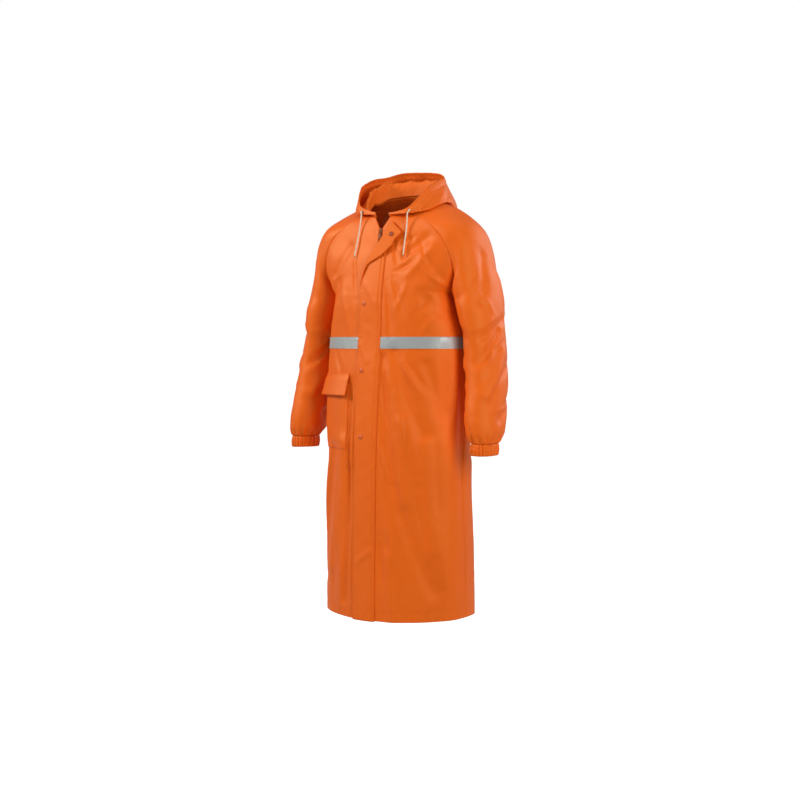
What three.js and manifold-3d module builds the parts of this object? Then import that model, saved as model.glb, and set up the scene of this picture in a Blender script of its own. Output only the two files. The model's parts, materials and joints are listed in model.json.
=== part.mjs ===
// A long orange hooded raincoat in the shape it has when worn, with no wearer in it.
// Millimetres, +Z up. The front faces -Y and +X is the wearer's left.
// The origin is the centre of the neck base, at the height of the shoulders.
import * as THREE from "three";
import { mergeVertices } from "three/addons/utils/BufferGeometryUtils.js";
import Module from "manifold-3d";

const wasm = await Module();
wasm.setup();

// Driving sizes
const CLOTH = 1.6;
const TAPE = 1.1;
const GAP = 0.4;
const HEM_Z = -1192;
const HEM_FRONT_DROP = 10;
const ZIP_HALF = 5;
const ZIP_TOP_Z = -88;
const NECK_OPENING = 22;
const NECK_SPREAD = 17;
const FLAP_WIDTH = 77;
const FLAP_SEAM_X = 26;
const FLAP_TOP_Z = -72;
const FLAP_ROLL = 3.2;
const TAPE_TOP_Z = -398;
const TAPE_BOTTOM_Z = -431;
const POCKET_TOP_Z = -501;
const POCKET_FLAP_MID_Z = -532;
const POCKET_FLAP_END_Z = -564;
const POCKET_BOTTOM_Z = -719;
const POCKET_NEAR = 83;
const POCKET_FAR = 233;
const POCKET_FLAP_LIFT = 13;
const SNAP_RADIUS = 7;
const SNAP_FROM_EDGE = 19;
const CUFF_HEIGHT = 34;
const CUFF_RIDGES = 22;
const CORD_RADIUS = 2;
const CORD_SIDES = 8;
const PULL_LENGTH = 20;

const ORANGE = 0xe8560f;
const SILVER = 0xa9adb0;
const CREAM = 0xe6dcc8;
const STEEL = 0x9c9a96;

const v = (x, y, z) => new THREE.Vector3(x, y, z);

// Each row of a table becomes an object whose keys are the column names
function table(columns, rows) {
  const names = columns.split(" ");
  return rows.map((row) => Object.fromEntries(names.map((name, i) => [name, row[i]])));
}

// Smooth value of one column at a whole or part row
function smooth(rows, name, at) {
  const last = rows.length - 1;
  const i = Math.max(0, Math.min(last - 1, Math.floor(at)));
  const f = at - i;
  const pick = (k) => rows[Math.max(0, Math.min(last, k))][name];
  const [a, b, c, d] = [pick(i - 1), pick(i), pick(i + 1), pick(i + 2)];
  const cubic = 3 * b - 3 * c + d - a;
  return b + 0.5 * f * (c - a + f * (2 * a - 5 * b + 4 * c - d + f * cubic));
}

// Part row of a table whose column falls or rises steadily
function rowAt(rows, name, value) {
  const falling = rows[0][name] > rows[1][name];
  for (let i = 0; i < rows.length - 1; i++) {
    const low = rows[i][name];
    const high = rows[i + 1][name];
    if (falling ? value >= high : value <= high) return i + (value - low) / (high - low);
  }
  return rows.length - 1;
}

const point = (rows, prefix, at) =>
  v(...["x", "y", "z"].map((axis) => smooth(rows, prefix + axis, at)));

// Sections of the body below the armholes
const BODY = table("z halfWidth frontY sideY backY square", [
  [-275, 195, -157, -25, 118, 0.84],
  [-311, 205, -160, -25, 118, 0.8],
  [-360, 219, -162, -25, 117, 0.7],
  [-415, 229, -165, -26, 115, 0.63],
  [-487, 232, -173, -31, 110, 0.61],
  [-590, 232, -180, -37, 106, 0.59],
  [-700, 230, -186, -43, 105, 0.58],
  [-850, 230, -190, -48, 109, 0.58],
  [-1000, 233, -193, -44, 118, 0.58],
  [HEM_Z, 233, -195, -38, 128, 0.58],
]);
const BODY_LEVELS = [
  -293, -311, -335, -365, TAPE_TOP_Z, TAPE_BOTTOM_Z, -463, POCKET_TOP_Z, POCKET_FLAP_MID_Z,
  POCKET_FLAP_END_Z, -600, -655, POCKET_BOTTOM_Z, -760, -815, -870, -925, -980, -1035, -1085,
  -1130, -1160, HEM_Z,
];

// Rows from the armhole up to the neck: centre front c, front raglan seam f, shoulder t, back raglan
// seam b and centre back k. The leads are the directions in which the cloth leaves each point.
const YOKE_POINTS = table("cy cz fx fy fz tx ty tz bx by bz ky kz", [
  [-157, -275, 195, -25, -275, 308, -17, -242, 195, -25, -275, 118, -275],
  [-153, -247, 211, -60, -250, 293, -16, -204, 208, 16, -248, 117, -235],
  [-148, -217, 221, -90, -213, 280, -16, -161, 213, 50, -210, 115, -190],
  [-141, -180, 214, -105, -162, 268, -19, -107, 204, 76, -160, 110, -140],
  [-133, -143, 184, -108, -110, 234, -20, -62, 172, 86, -102, 100, -88],
  [-126, -102, 132, -104, -68, 172, -16, -26, 122, 68, -44, 84, -34],
  [-118, -57, 70, -88, -42, 92, -25, -8, 70, 30, 10, 60, 16],
]);
const YOKE_LEADS = table("pfx pfy pfz sfx sfy sfz tty ttz sbx sby sbz pbx pby pbz", [
  [0, -110, 0, 2, -108, 5, -108, 4, 2, 108, 5, 0, 120, 0],
  [-12, -76, 0, 10, -67, 12, -98, 6, 24, 72, 12, -12, 58, 0],
  [-30, -42, 2, 26, -24, 22, -84, 8, 42, 36, 22, -28, 42, 2],
  [-50, -24, -4, 27, 3, 34, -66, 4, 34, 6, 34, -48, 26, -4],
  [-52, -8, -14, 32, 2, 30, -52, -8, 24, -14, 30, -50, 10, -8],
  [-40, -8, -14, 12, 26, 18, -40, -12, 14, -20, 22, -40, 8, 4],
  [-22, -16, -6, 10, 20, 12, -22, -8, 8, -18, -2, -22, 14, 4],
]);
const YOKE = YOKE_POINTS.map((row, i) => ({ ...row, ...YOKE_LEADS[i] }));
const YOKE_STEPS = 8;

// Rings of the sleeve below the armhole: centre, half-width sideways and half-depth front to back
const ARM = table("z x y side deep lean", [
  [-259, 252, -16, 57, 81, 16],
  [-311, 265, -19, 54, 86, 12],
  [-360, 276, -21, 50, 83, 8],
  [-440, 287, -21, 49, 78, 5],
  [-540, 301, -37, 51, 74, 4],
  [-618, 307, -54, 52, 72, 3],
  [-664, 313, -65, 47, 64, 2],
  [-692, 316, -73, 34, 49, 0],
]);
const ARM_LEVELS = [
  -285, -311, -340, -372, -405, -440, -475, -510, -545, -580, -614, -642, -662, -678, -692,
];
const ARM_HALF_COLUMNS = 10;

// Large folds: the way each one faces, its two ends and its width and depth (troughs are negative)
const FOLDS = table("face a0 z0 a1 z1 width depth", [
  ["front", 36, -455, 58, -695, 15, -5],
  ["front", 58, -695, 80, -815, 16, -6],
  ["front", 80, -815, 130, -970, 18, -7],
  ["front", 130, -970, 190, -1110, 20, -6],
  ["front", 72, -440, 128, -600, 16, -6],
  ["front", 128, -600, 162, -675, 16, -5],
  ["front", 100, -640, 112, -860, 20, 5],
  ["front", 165, -480, 204, -615, 17, -6],
  ["front", 170, -700, 185, -1000, 22, 5],
  ["front", 150, -285, 196, -330, 18, -6],
  ["front", 150, -120, 90, -170, 15, -5],
  ["front", 170, -150, 105, -225, 14, 4],
  ["front", 70, -1020, 84, -1192, 22, 5],
  ["front", -95, -700, -150, -1060, 22, 6],
  ["front", -150, -720, -200, -1100, 18, -7],
  ["front", -70, -780, -85, -1150, 18, -4],
  ["front", -150, -240, -196, -330, 18, -6],
  ["front", -110, -140, -160, -215, 16, -4],
  ["back", 30, -330, 48, -760, 30, -7],
  ["back", 110, -360, 122, -800, 30, 6],
  ["back", -62, -300, -80, -900, 32, 6],
  ["back", -130, -330, -140, -820, 28, -7],
  ["back", 80, -760, 96, -1192, 34, -9],
  ["back", 10, -700, -8, -1192, 36, 8],
  ["back", -90, -820, -104, -1192, 32, -9],
  ["back", 165, -700, 172, -1192, 28, 7],
  ["back", -165, -760, -176, -1192, 28, 7],
  ["back", 60, -110, 150, -230, 24, -5],
  ["back", -60, -110, -150, -230, 24, -5],
  ["left", -110, -700, -95, -1192, 26, 5],
  ["left", 20, -760, 30, -1192, 28, 5],
  ["right", -110, -700, -95, -1192, 26, -4],
  ["right", 10, -720, 24, -1192, 28, 5],
  ["armleft", -20, -380, -95, -470, 14, -7],
  ["armleft", 10, -350, -80, -400, 12, -5],
  ["armleft", -10, -440, -100, -560, 14, 5],
  ["armleft", -30, -170, -75, -300, 15, -6],
  ["armleft", 20, -560, -60, -625, 14, -6],
  ["armright", -30, -300, -95, -400, 14, -7],
  ["armright", -10, -340, -80, -480, 13, 5],
  ["armright", -60, -170, -90, -290, 15, -5],
  ["armright", 10, -470, -70, -560, 14, -6],
  ["armright", 30, -390, -20, -430, 13, -5],
]);
const FACES = {
  front: v(0, -1, 0),
  back: v(0, 1, 0),
  left: v(1, 0, 0),
  right: v(-1, 0, 0),
  armleft: v(1, 0, 0),
  armright: v(-1, 0, 0),
};

function foldAmount(p, n) {
  let sum = 0;
  for (const fold of FOLDS) {
    const facing = n.dot(FACES[fold.face]);
    if (facing <= 0) continue;
    const sides = fold.face !== "front" && fold.face !== "back";
    const arm = fold.face.startsWith("arm");
    if (sides && Math.abs(p.x) > 236 !== arm) continue;
    const a = sides ? p.y : p.x;
    const along = new THREE.Vector2(fold.a1 - fold.a0, fold.z1 - fold.z0);
    const from = new THREE.Vector2(a - fold.a0, p.z - fold.z0);
    const t = THREE.MathUtils.clamp(from.dot(along) / along.lengthSq(), 0, 1);
    const reach = from.sub(along.multiplyScalar(t)).length() / fold.width;
    sum += fold.depth * Math.exp(-reach * reach) * Math.sqrt(facing);
  }
  return sum;
}

// Points at even shares of the length of a cubic curve
const bezier = (a, b, c, d) => new THREE.CubicBezierCurve3(a, b, c, d);
const shares = (curve, count) => Array.from({ length: count + 1 }, (_, i) => curve.getPointAt(i / count));

// Distances of the front panel's columns from the centre front, on a row of the full length
const FULL_HALF = 300;
const NEAR_COLUMNS = [ZIP_HALF, FLAP_SEAM_X, 52.5];
const FAR_COLUMNS = [66, POCKET_NEAR, 104, 126, 148, 170, 191, 212, POCKET_FAR, 255, 278, FULL_HALF];

// Above the zip the edges spread into a V, and the flap's seam leans away from the middle
const NECK_Z = YOKE[YOKE.length - 1].cz;
const opening = (z) => NECK_OPENING * THREE.MathUtils.clamp((z - ZIP_TOP_Z) / (NECK_Z - ZIP_TOP_Z), 0, 1);
const flapOpen = (z) => THREE.MathUtils.smoothstep(z, -142, NECK_Z);

function frontColumns(curve) {
  const length = curve.getLength();
  const z = curve.v0.z;
  const near = NEAR_COLUMNS.map((d, i) => d + (i ? NECK_SPREAD * flapOpen(z) : opening(z)));
  const last = near[near.length - 1];
  const far = FAR_COLUMNS.map((d) => last + ((d - last) / (FULL_HALF - last)) * (length - last));
  return [...near, ...far].map((d) => curve.getPointAt(Math.min(1, d / length)));
}

const BACK_HALF_COLUMNS = 10;

// One row of the left front and one half row of the back, at a level of the body
function bodyRow(z) {
  const at = rowAt(BODY, "z", z);
  const names = ["halfWidth", "frontY", "sideY", "backY", "square"];
  const [w, front, side, back, square] = names.map((n) => smooth(BODY, n, at));
  const drop = HEM_FRONT_DROP * THREE.MathUtils.smoothstep(-z, 900, -HEM_Z);
  const middle = v(0, front, z - drop);
  const seam = v(w, side, z);
  const rear = v(0, back, z);
  const sideFore = v(w, side - square * (side - front), z);
  const sideAft = v(w, side + square * (back - side), z);
  const fore = bezier(middle, v(w * square, front, z - drop), sideFore, seam);
  const aft = bezier(seam, sideAft, v(w * square, back, z), rear);
  return { front: frontColumns(fore), back: shares(aft, BACK_HALF_COLUMNS) };
}

// One row across the yoke: left front, left sleeve from front seam to back seam, and left back
function yokeRow(at) {
  const middle = v(0, smooth(YOKE, "cy", at), smooth(YOKE, "cz", at));
  const rear = v(0, smooth(YOKE, "ky", at), smooth(YOKE, "kz", at));
  const [f, t, b] = ["f", "t", "b"].map((prefix) => point(YOKE, prefix, at));
  const tip = v(0, smooth(YOKE, "tty", at), smooth(YOKE, "ttz", at));
  const away = (from, prefix) => from.clone().add(point(YOKE, prefix, at));
  const square = Math.max(0.5, 0.84 - 0.2 * at);
  const fore = bezier(middle, v(f.x * square, middle.y, middle.z), away(f, "pf"), f);
  const aft = bezier(b, away(b, "pb"), v(b.x * square, rear.y, rear.z), rear);
  const over = bezier(f, away(f, "sf"), t.clone().add(tip), t);
  const under = bezier(t, v(t.x, t.y - tip.y, t.z + tip.z), away(b, "sb"), b);
  return {
    front: frontColumns(fore),
    sleeve: [...shares(over, ARM_HALF_COLUMNS), ...shares(under, ARM_HALF_COLUMNS).slice(1)],
    back: shares(aft, BACK_HALF_COLUMNS),
  };
}

// One closed ring of the left sleeve, from its inner side round the front and back to the inner side
function armRing(z) {
  const at = rowAt(ARM, "z", z);
  const [x, y, side, deep, lean] = ["x", "y", "side", "deep", "lean"].map((n) => smooth(ARM, n, at));
  const inner = v(x - side, y, z - lean);
  const outer = v(x + side, y, z + lean);
  const reach = (4 / 3) * deep;
  const fore = bezier(inner, v(inner.x, y - reach, inner.z), v(outer.x, y - reach, outer.z), outer);
  const aft = bezier(outer, v(outer.x, y + reach, outer.z), v(inner.x, y + reach, inner.z), inner);
  return [...shares(fore, ARM_HALF_COLUMNS), ...shares(aft, ARM_HALF_COLUMNS).slice(1)];
}

// The hood lies down behind the neck: neck seam n, nape roll r, bag bottom d, outer belly e, rim m
const HOOD = table("nx ny nz rx ry rz dx dy dz ex ey ez mx my mz", [
  [21, -116, -56, 22, -117, -54, 23, -119, -52, 24, -120, -49, 22, -119, -44],
  [44, -106, -51, 46, -107, -45, 52, -112, -46, 60, -117, -48, 52, -117, -38],
  [70, -88, -42, 74, -89, -28, 84, -96, -38, 98, -104, -46, 89, -107, -22],
  [87, -55, -25, 93, -56, 8, 110, -60, -16, 130, -66, -33, 115, -66, 27],
  [92, -18, -5, 97, -18, 38, 120, -14, 0, 150, -8, -10, 117, -12, 55],
  [80, 20, 8, 88, 32, 55, 108, 56, -12, 127, 65, -20, 101, 52, 74],
  [46, 47, 13, 50, 59, 61, 62, 100, -46, 84, 128, -22, 58, 77, 91],
  [0, 60, 16, 0, 72, 60, 0, 112, -60, 0, 152, -16, 0, 81, 94],
]);
const HOOD_COLUMNS = 14;
const HOOD_ROWS = 13;
const HOOD_RIPPLE = 2.2;
const HOOD_LEAN = 0.07;

// One half of the hood; the rim leans down to the wearer's left, so the halves differ
function hoodGrid(sign) {
  const grid = [];
  for (let row = 0; row <= HOOD_ROWS; row++) {
    const across = row / HOOD_ROWS;
    grid.push(
      Array.from({ length: HOOD_COLUMNS + 1 }, (_, col) => {
        const at = (col / HOOD_COLUMNS) * (HOOD.length - 1);
        const path = new THREE.CatmullRomCurve3(
          ["n", "r", "d", "e", "m"].map((prefix) => point(HOOD, prefix, at)),
          false,
          "centripetal",
        );
        const p = path.getPointAt(across);
        const middle = Math.sin((Math.PI * col) / HOOD_COLUMNS);
        const fade = THREE.MathUtils.smoothstep(across, 0.35, 0.8) * middle;
        p.z += HOOD_RIPPLE * fade * Math.sin(col * 2.4);
        p.z -= sign * HOOD_LEAN * p.x * across * across;
        return p;
      }),
    );
  }
  return grid;
}

// The neck row of the panels is the first row of the hood, so that the hood starts on the seam
function onNeckSeam(hood, yokeTop) {
  const seam = [...yokeTop.front, ...yokeTop.sleeve.slice(1), ...yokeTop.back.slice(1)];
  const lengths = [0];
  seam.forEach((p, i) => i && lengths.push(lengths[i - 1] + p.distanceTo(seam[i - 1])));
  const total = lengths[lengths.length - 1];
  const pointOn = (d) => {
    const i = Math.min(seam.length - 2, Math.max(0, lengths.findIndex((l) => l >= d) - 1));
    const f = (d - lengths[i]) / (lengths[i + 1] - lengths[i]);
    return seam[i].clone().lerp(seam[i + 1], f);
  };
  hood[0] = hood[0].map((_, i) => pointOn((i / HOOD_COLUMNS) * total));
  hood[0].forEach((p) => {
    p.z += 1.2;
  });
  return hood;
}

const mirrored = (grid) => grid.map((row) => row.map((p) => v(-p.x, p.y, p.z)));

const yokeStep = (YOKE.length - 1) / YOKE_STEPS;
const yoke = Array.from({ length: YOKE_STEPS + 1 }, (_, i) => yokeRow(i * yokeStep));
const lower = BODY_LEVELS.map(bodyRow);
const armpit = yoke[0].sleeve[0].clone();

// The panels' outer faces, with rows from the hem or cuff up to the neck
function panelGrids() {
  const rows = [...lower.slice().reverse(), ...yoke];
  const left = rows.map((row) => row.front);
  const sleeve = [...ARM_LEVELS.map(armRing).reverse(), ...yoke.map((row) => row.sleeve)];
  const back = rows.map((row) => [...row.back, ...mirrored([row.back.slice(0, -1).reverse()])[0]]);
  return {
    front_left: { grid: left },
    front_right: { grid: mirrored(left), turned: true },
    back: { grid: back },
    sleeve_left: { grid: sleeve, closedRows: ARM_LEVELS.length },
    sleeve_right: { grid: mirrored(sleeve), turned: true, closedRows: ARM_LEVELS.length },
  };
}

// Normals of all the panels together, so that two panels share them along their seam
function shareNormals(panels) {
  const sums = new Map();
  const key = (name, p) => {
    const place = [p.x, p.y, p.z].map((c) => c.toFixed(2)).join(" ");
    const atArmpit = Math.hypot(Math.abs(p.x) - armpit.x, p.y - armpit.y, p.z - armpit.z) < 3;
    return atArmpit ? place + name.startsWith("sleeve") : place;
  };
  for (const [name, panel] of Object.entries(panels)) {
    const { grid } = panel;
    const add = (a, b, c) => {
      const n = b.clone().sub(a).cross(c.clone().sub(a)).multiplyScalar(panel.turned ? -1 : 1);
      for (const p of [a, b, c]) {
        const k = key(name, p);
        if (!sums.has(k)) sums.set(k, v(0, 0, 0));
        sums.get(k).add(n);
      }
    };
    for (let r = 0; r < grid.length - 1; r++)
      for (let c = 0; c < grid[0].length - 1; c++) {
        add(grid[r][c], grid[r][c + 1], grid[r + 1][c + 1]);
        add(grid[r][c], grid[r + 1][c + 1], grid[r + 1][c]);
      }
  }
  for (const [name, panel] of Object.entries(panels))
    panel.normals = panel.grid.map((row) => row.map((p) => sums.get(key(name, p)).clone().normalize()));
}

function addFolds(panels) {
  shareNormals(panels);
  for (const panel of Object.values(panels))
    panel.grid = panel.grid.map((row, r) =>
      row.map((p, c) => {
        const n = panel.normals[r][c];
        const nearest = v(Math.sign(p.x) * armpit.x, armpit.y, armpit.z);
        const free = THREE.MathUtils.smoothstep(p.distanceTo(nearest), 15, 60);
        return p.clone().addScaledVector(n, foldAmount(p, n) * free);
      }),
    );
  shareNormals(panels);
}

// The borders of a panel drawn in, so that a seam keeps its gap
function drawnIn(panel, edges) {
  const { grid, closedRows = 0 } = panel;
  const out = grid.map((row) => row.map((p) => p.clone()));
  const toward = (r, c, r2, c2) => {
    const step = grid[r2][c2].clone().sub(grid[r][c]).setLength(GAP / 2);
    out[r][c].add(step);
  };
  const lastRow = grid.length - 1;
  const lastCol = grid[0].length - 1;
  grid.forEach((row, r) => {
    if (r < closedRows) return;
    if (r === closedRows && closedRows > 0) {
      toward(r, 0, r - 1, 0);
      toward(r, lastCol, r - 1, lastCol);
      return;
    }
    if (edges.includes("first")) toward(r, 0, r, 1);
    if (edges.includes("last")) toward(r, lastCol, r, lastCol - 1);
  });
  if (edges.includes("top")) grid[lastRow].forEach((p, c) => toward(lastRow, c, lastRow - 1, c));
  return out;
}

// A closed wall between two matching grids, with its rim; closed rows have no side rim
function between(outer, inner, closedRows = 0) {
  const rows = outer.length;
  const cols = outer[0].length;
  const positions = [];
  for (const p of [outer, inner].flat(2)) positions.push(p.x, p.y, p.z);
  const o = (r, c) => r * cols + c;
  const i = (r, c) => rows * cols + r * cols + c;
  const index = [];
  const quad = (a, b, c, d) => index.push(a, b, c, a, c, d);
  for (let r = 0; r < rows - 1; r++) {
    for (let c = 0; c < cols - 1; c++) {
      quad(o(r, c), o(r, c + 1), o(r + 1, c + 1), o(r + 1, c));
      quad(i(r, c), i(r + 1, c), i(r + 1, c + 1), i(r, c + 1));
    }
    if (r < closedRows) continue;
    quad(o(r, 0), o(r + 1, 0), i(r + 1, 0), i(r, 0));
    quad(o(r, cols - 1), i(r, cols - 1), i(r + 1, cols - 1), o(r + 1, cols - 1));
  }
  for (let c = 0; c < cols - 1; c++) {
    quad(o(0, c), i(0, c), i(0, c + 1), o(0, c + 1));
    quad(o(rows - 1, c), o(rows - 1, c + 1), i(rows - 1, c + 1), i(rows - 1, c));
  }
  return facingOut(positions, index);
}

function signedVolume(positions, index) {
  const at = (k) => v(...positions.slice(3 * k, 3 * k + 3));
  let sum = 0;
  for (let t = 0; t < index.length; t += 3) {
    const [a, b, c] = [at(index[t]), at(index[t + 1]), at(index[t + 2])];
    sum += a.dot(b.cross(c));
  }
  return sum;
}

function facingOut(positions, index) {
  if (signedVolume(positions, index) < 0)
    for (let t = 0; t < index.length; t += 3) [index[t + 1], index[t + 2]] = [index[t + 2], index[t + 1]];
  const geometry = new THREE.BufferGeometry();
  geometry.setAttribute("position", new THREE.Float32BufferAttribute(positions, 3));
  geometry.setIndex(index);
  const merged = mergeVertices(geometry, 1e-4);
  merged.computeVertexNormals();
  return merged;
}

const moved = (grid, normals, by) => {
  const amount = (r) => (Array.isArray(by) ? by[r] : by);
  return grid.map((row, r) => row.map((p, c) => p.clone().addScaledVector(normals[r][c], amount(r))));
};

const group = new THREE.Group();

function add(name, geometry, color, roughness = 0.75, metalness = 0, parent = group) {
  const mesh = new THREE.Mesh(geometry, new THREE.MeshStandardMaterial({ color, roughness, metalness }));
  mesh.name = name;
  parent.add(mesh);
  return mesh;
}

const panels = panelGrids();
addFolds(panels);
const SEWN_EDGES = {
  front_left: ["last", "top"],
  front_right: ["last", "top"],
  back: ["first", "last", "top"],
  sleeve_left: ["first", "last", "top"],
  sleeve_right: ["first", "last", "top"],
};
for (const [name, panel] of Object.entries(panels)) {
  const outer = drawnIn(panel, SEWN_EDGES[name]);
  const inner = moved(outer, panel.normals, -CLOTH);
  add(name, between(outer, inner, panel.closedRows), ORANGE);
}

// The gathered cuff hangs just below the sleeve's end, a ring with soft ridges
function cuff(sign) {
  const end = ARM[ARM.length - 1];
  const count = CUFF_RIDGES * 2;
  const levels = [0.6, CUFF_HEIGHT * 0.5, CUFF_HEIGHT];
  const ring = (drop, less, swell) =>
    Array.from({ length: count + 1 }, (_, i) => {
      const angle = ((i % count) / count) * 2 * Math.PI;
      const ridge = i % 2 ? -1.3 : 1.3;
      const out = ridge + swell - less - 1;
      const x = end.x + (end.side + out) * Math.cos(angle);
      const y = end.y + (end.deep + out) * Math.sin(angle);
      return v(sign * x, y - drop * 0.08, end.z - drop);
    });
  const outer = levels.map((drop, i) => ring(drop, 0, i === 1 ? 2 : 0));
  const inner = levels.map((drop, i) => ring(drop, CLOTH + 0.4, i === 1 ? 2 : 0));
  return between(outer, inner, levels.length);
}
add("cuff_left", cuff(1), ORANGE);
add("cuff_right", cuff(-1), ORANGE);

// Hood, in two halves sewn at the centre
const hoodHalf = (sign) => onNeckSeam(hoodGrid(sign), yoke[YOKE_STEPS]);
const hoodPanels = {
  hood_left: { grid: hoodHalf(1) },
  hood_right: { grid: mirrored(hoodHalf(-1)), turned: true },
};
shareNormals(hoodPanels);
for (const [name, panel] of Object.entries(hoodPanels)) {
  const outer = drawnIn(panel, ["last"]);
  add(name, between(outer, moved(outer, panel.normals, -CLOTH)), ORANGE);
}

// A piece that lies on part of a panel, from the panel's own points moved out
const panelRow = (z) => BODY_LEVELS.length - 1 - BODY_LEVELS.indexOf(z);

function patch(panel, levels, firstCol, lastCol, lifts, thickness, inset = 0) {
  const pick = (grid) => levels.map((z) => grid[panelRow(z)].slice(firstCol, lastCol + 1));
  const grid = pick(panel.grid);
  const normals = pick(panel.normals);
  const seat = grid.map((row) => {
    const out = row.map((p) => p.clone());
    out[0].add(row[1].clone().sub(row[0]).setLength(inset));
    out[out.length - 1].add(row[row.length - 2].clone().sub(row[row.length - 1]).setLength(inset));
    return out;
  });
  const low = moved(seat, normals, lifts);
  const high = moved(seat, normals, lifts.map((lift) => lift + thickness));
  return between(high, low);
}

// Reflective tape round the chest
const LAST_COLUMN = NEAR_COLUMNS.length + FAR_COLUMNS.length - 1;
const TAPES = [
  { name: "tape_front_left", panel: panels.front_left, first: 1, last: LAST_COLUMN, inset: 0.6 },
  { name: "tape_front_right", panel: panels.front_right, first: 2, last: LAST_COLUMN, inset: 0.8 },
  { name: "tape_back", panel: panels.back, first: 0, last: 2 * BACK_HALF_COLUMNS, inset: 0.6 },
];
for (const { name, panel, first, last, inset } of TAPES) {
  const strip = patch(panel, [TAPE_BOTTOM_Z, TAPE_TOP_Z], first, last, [GAP, GAP], TAPE, inset);
  add(name, strip, SILVER, 0.4, 0.2);
}

// Patch pocket on the right front, with a flap sewn above it that stands away at its lower edge
const near = NEAR_COLUMNS.length + FAR_COLUMNS.indexOf(POCKET_NEAR);
const far = NEAR_COLUMNS.length + FAR_COLUMNS.indexOf(POCKET_FAR);
const pocketLevels = BODY_LEVELS.filter((z) => z <= POCKET_FLAP_MID_Z && z >= POCKET_BOTTOM_Z).reverse();
const pocketSeat = pocketLevels.map(() => GAP);
add("pocket", patch(panels.front_right, pocketLevels, near, far, pocketSeat, CLOTH, 1.5), ORANGE);
const flapLevels = [POCKET_FLAP_END_Z, POCKET_FLAP_MID_Z, POCKET_TOP_Z];
const flapLifts = [POCKET_FLAP_LIFT, 0.42 * POCKET_FLAP_LIFT, GAP];
add("pocket_flap", patch(panels.front_right, flapLevels, near, far, flapLifts, CLOTH), ORANGE);

// A point of the front at a distance across and a height, with its normal
const frontRows = panels.front_left.grid.map((row, r) => ({
  points: [...panels.front_right.grid[r].slice().reverse(), ...row],
  normals: [...panels.front_right.normals[r].slice().reverse(), ...panels.front_left.normals[r]],
}));

function onRow(row, x) {
  const { points, normals } = row;
  let i = points.findIndex((p) => p.x >= x) - 1;
  if (i < 0) i = x < points[0].x ? 0 : points.length - 2;
  const f = (x - points[i].x) / (points[i + 1].x - points[i].x);
  return { p: points[i].clone().lerp(points[i + 1], f), n: normals[i].clone().lerp(normals[i + 1], f) };
}

function onFront(x, z) {
  const hits = frontRows.map((row) => onRow(row, x));
  let i = hits.findIndex((hit) => hit.p.z >= z) - 1;
  if (i < 0) i = hits[0].p.z >= z ? 0 : hits.length - 2;
  const f = (z - hits[i].p.z) / (hits[i + 1].p.z - hits[i].p.z);
  const p = hits[i].p.clone().lerp(hits[i + 1].p, f);
  return { p, n: hits[i].n.clone().lerp(hits[i + 1].n, f).normalize() };
}

// Storm flap: sewn to the left front, flat over the right front, and turned out like a lapel above
// the first snap. The crease is where it turns: its height, place across, lean from upright and the
// flap's width there.
const CREASE = table("z x lean width", [
  [FLAP_TOP_Z, 43, 20, 53],
  [-90, 28, 22, 61],
  [-121, 9, 25, 69],
  [-150, -13, 26, FLAP_WIDTH],
  [-184, -33, 22, FLAP_WIDTH],
  [-240, -45, 12, FLAP_WIDTH],
  [-300, -51, 6, FLAP_WIDTH],
  [-360, -52, 6, FLAP_WIDTH],
]);
const flapSeam = (z) => FLAP_SEAM_X + NECK_SPREAD * flapOpen(z);
const flapWidth = (z) => smooth(CREASE, "width", rowAt(CREASE, "z", z));
const flapBase = (z) => GAP + CLOTH / 2 + 1.2 * flapOpen(z);

// The middle of the flap's cloth at a distance from its sewn edge
function onFlap(z, w) {
  const at = rowAt(CREASE, "z", z);
  const lean = THREE.MathUtils.degToRad(smooth(CREASE, "lean", at));
  const crease = Math.min(flapSeam(z) - 1, smooth(CREASE, "x", at));
  const past = w - (flapSeam(z) - crease);
  if (z < -300 || past <= 0) return onFrontLifted(flapSeam(z) - w, z, flapBase(z));
  const wrapped = past * Math.cos(lean);
  const turn = Math.min(Math.PI, wrapped / FLAP_ROLL);
  const out = turn < Math.PI ? FLAP_ROLL * Math.sin(turn) : Math.PI * FLAP_ROLL - wrapped;
  const down = past * Math.sin(lean);
  const x = crease - out * Math.cos(lean) - down * Math.sin(lean);
  const height = z + out * Math.sin(lean) - down * Math.cos(lean);
  return onFrontLifted(x, height, flapBase(z) + FLAP_ROLL * (1 - Math.cos(turn)));
}

function onFrontLifted(x, z, lift) {
  const { p, n } = onFront(x, z);
  return p.addScaledVector(n, lift);
}

// Places across the flap where its columns lie, with more of them round the roll
const FLAT_FLAP_COLUMNS = [0, 0.27, 0.33, 0.4, 0.53, 0.67, 0.77, 0.89, 1];

function flapColumns(z) {
  const width = flapWidth(z);
  const at = rowAt(CREASE, "z", z);
  const flat = Math.max(1, flapSeam(z) - smooth(CREASE, "x", at));
  const roll = (Math.PI * FLAP_ROLL) / Math.cos(THREE.MathUtils.degToRad(smooth(CREASE, "lean", at)));
  if (flat + roll > width - 6) return FLAT_FLAP_COLUMNS.map((share) => share * width);
  const inFlat = [0, 1, 2, 3].map((k) => (k * flat) / 3);
  const inRoll = [1, 2, 3].map((k) => flat + (k * roll) / 3);
  return [...inFlat, ...inRoll, (flat + roll + width) / 2, width];
}

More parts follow.
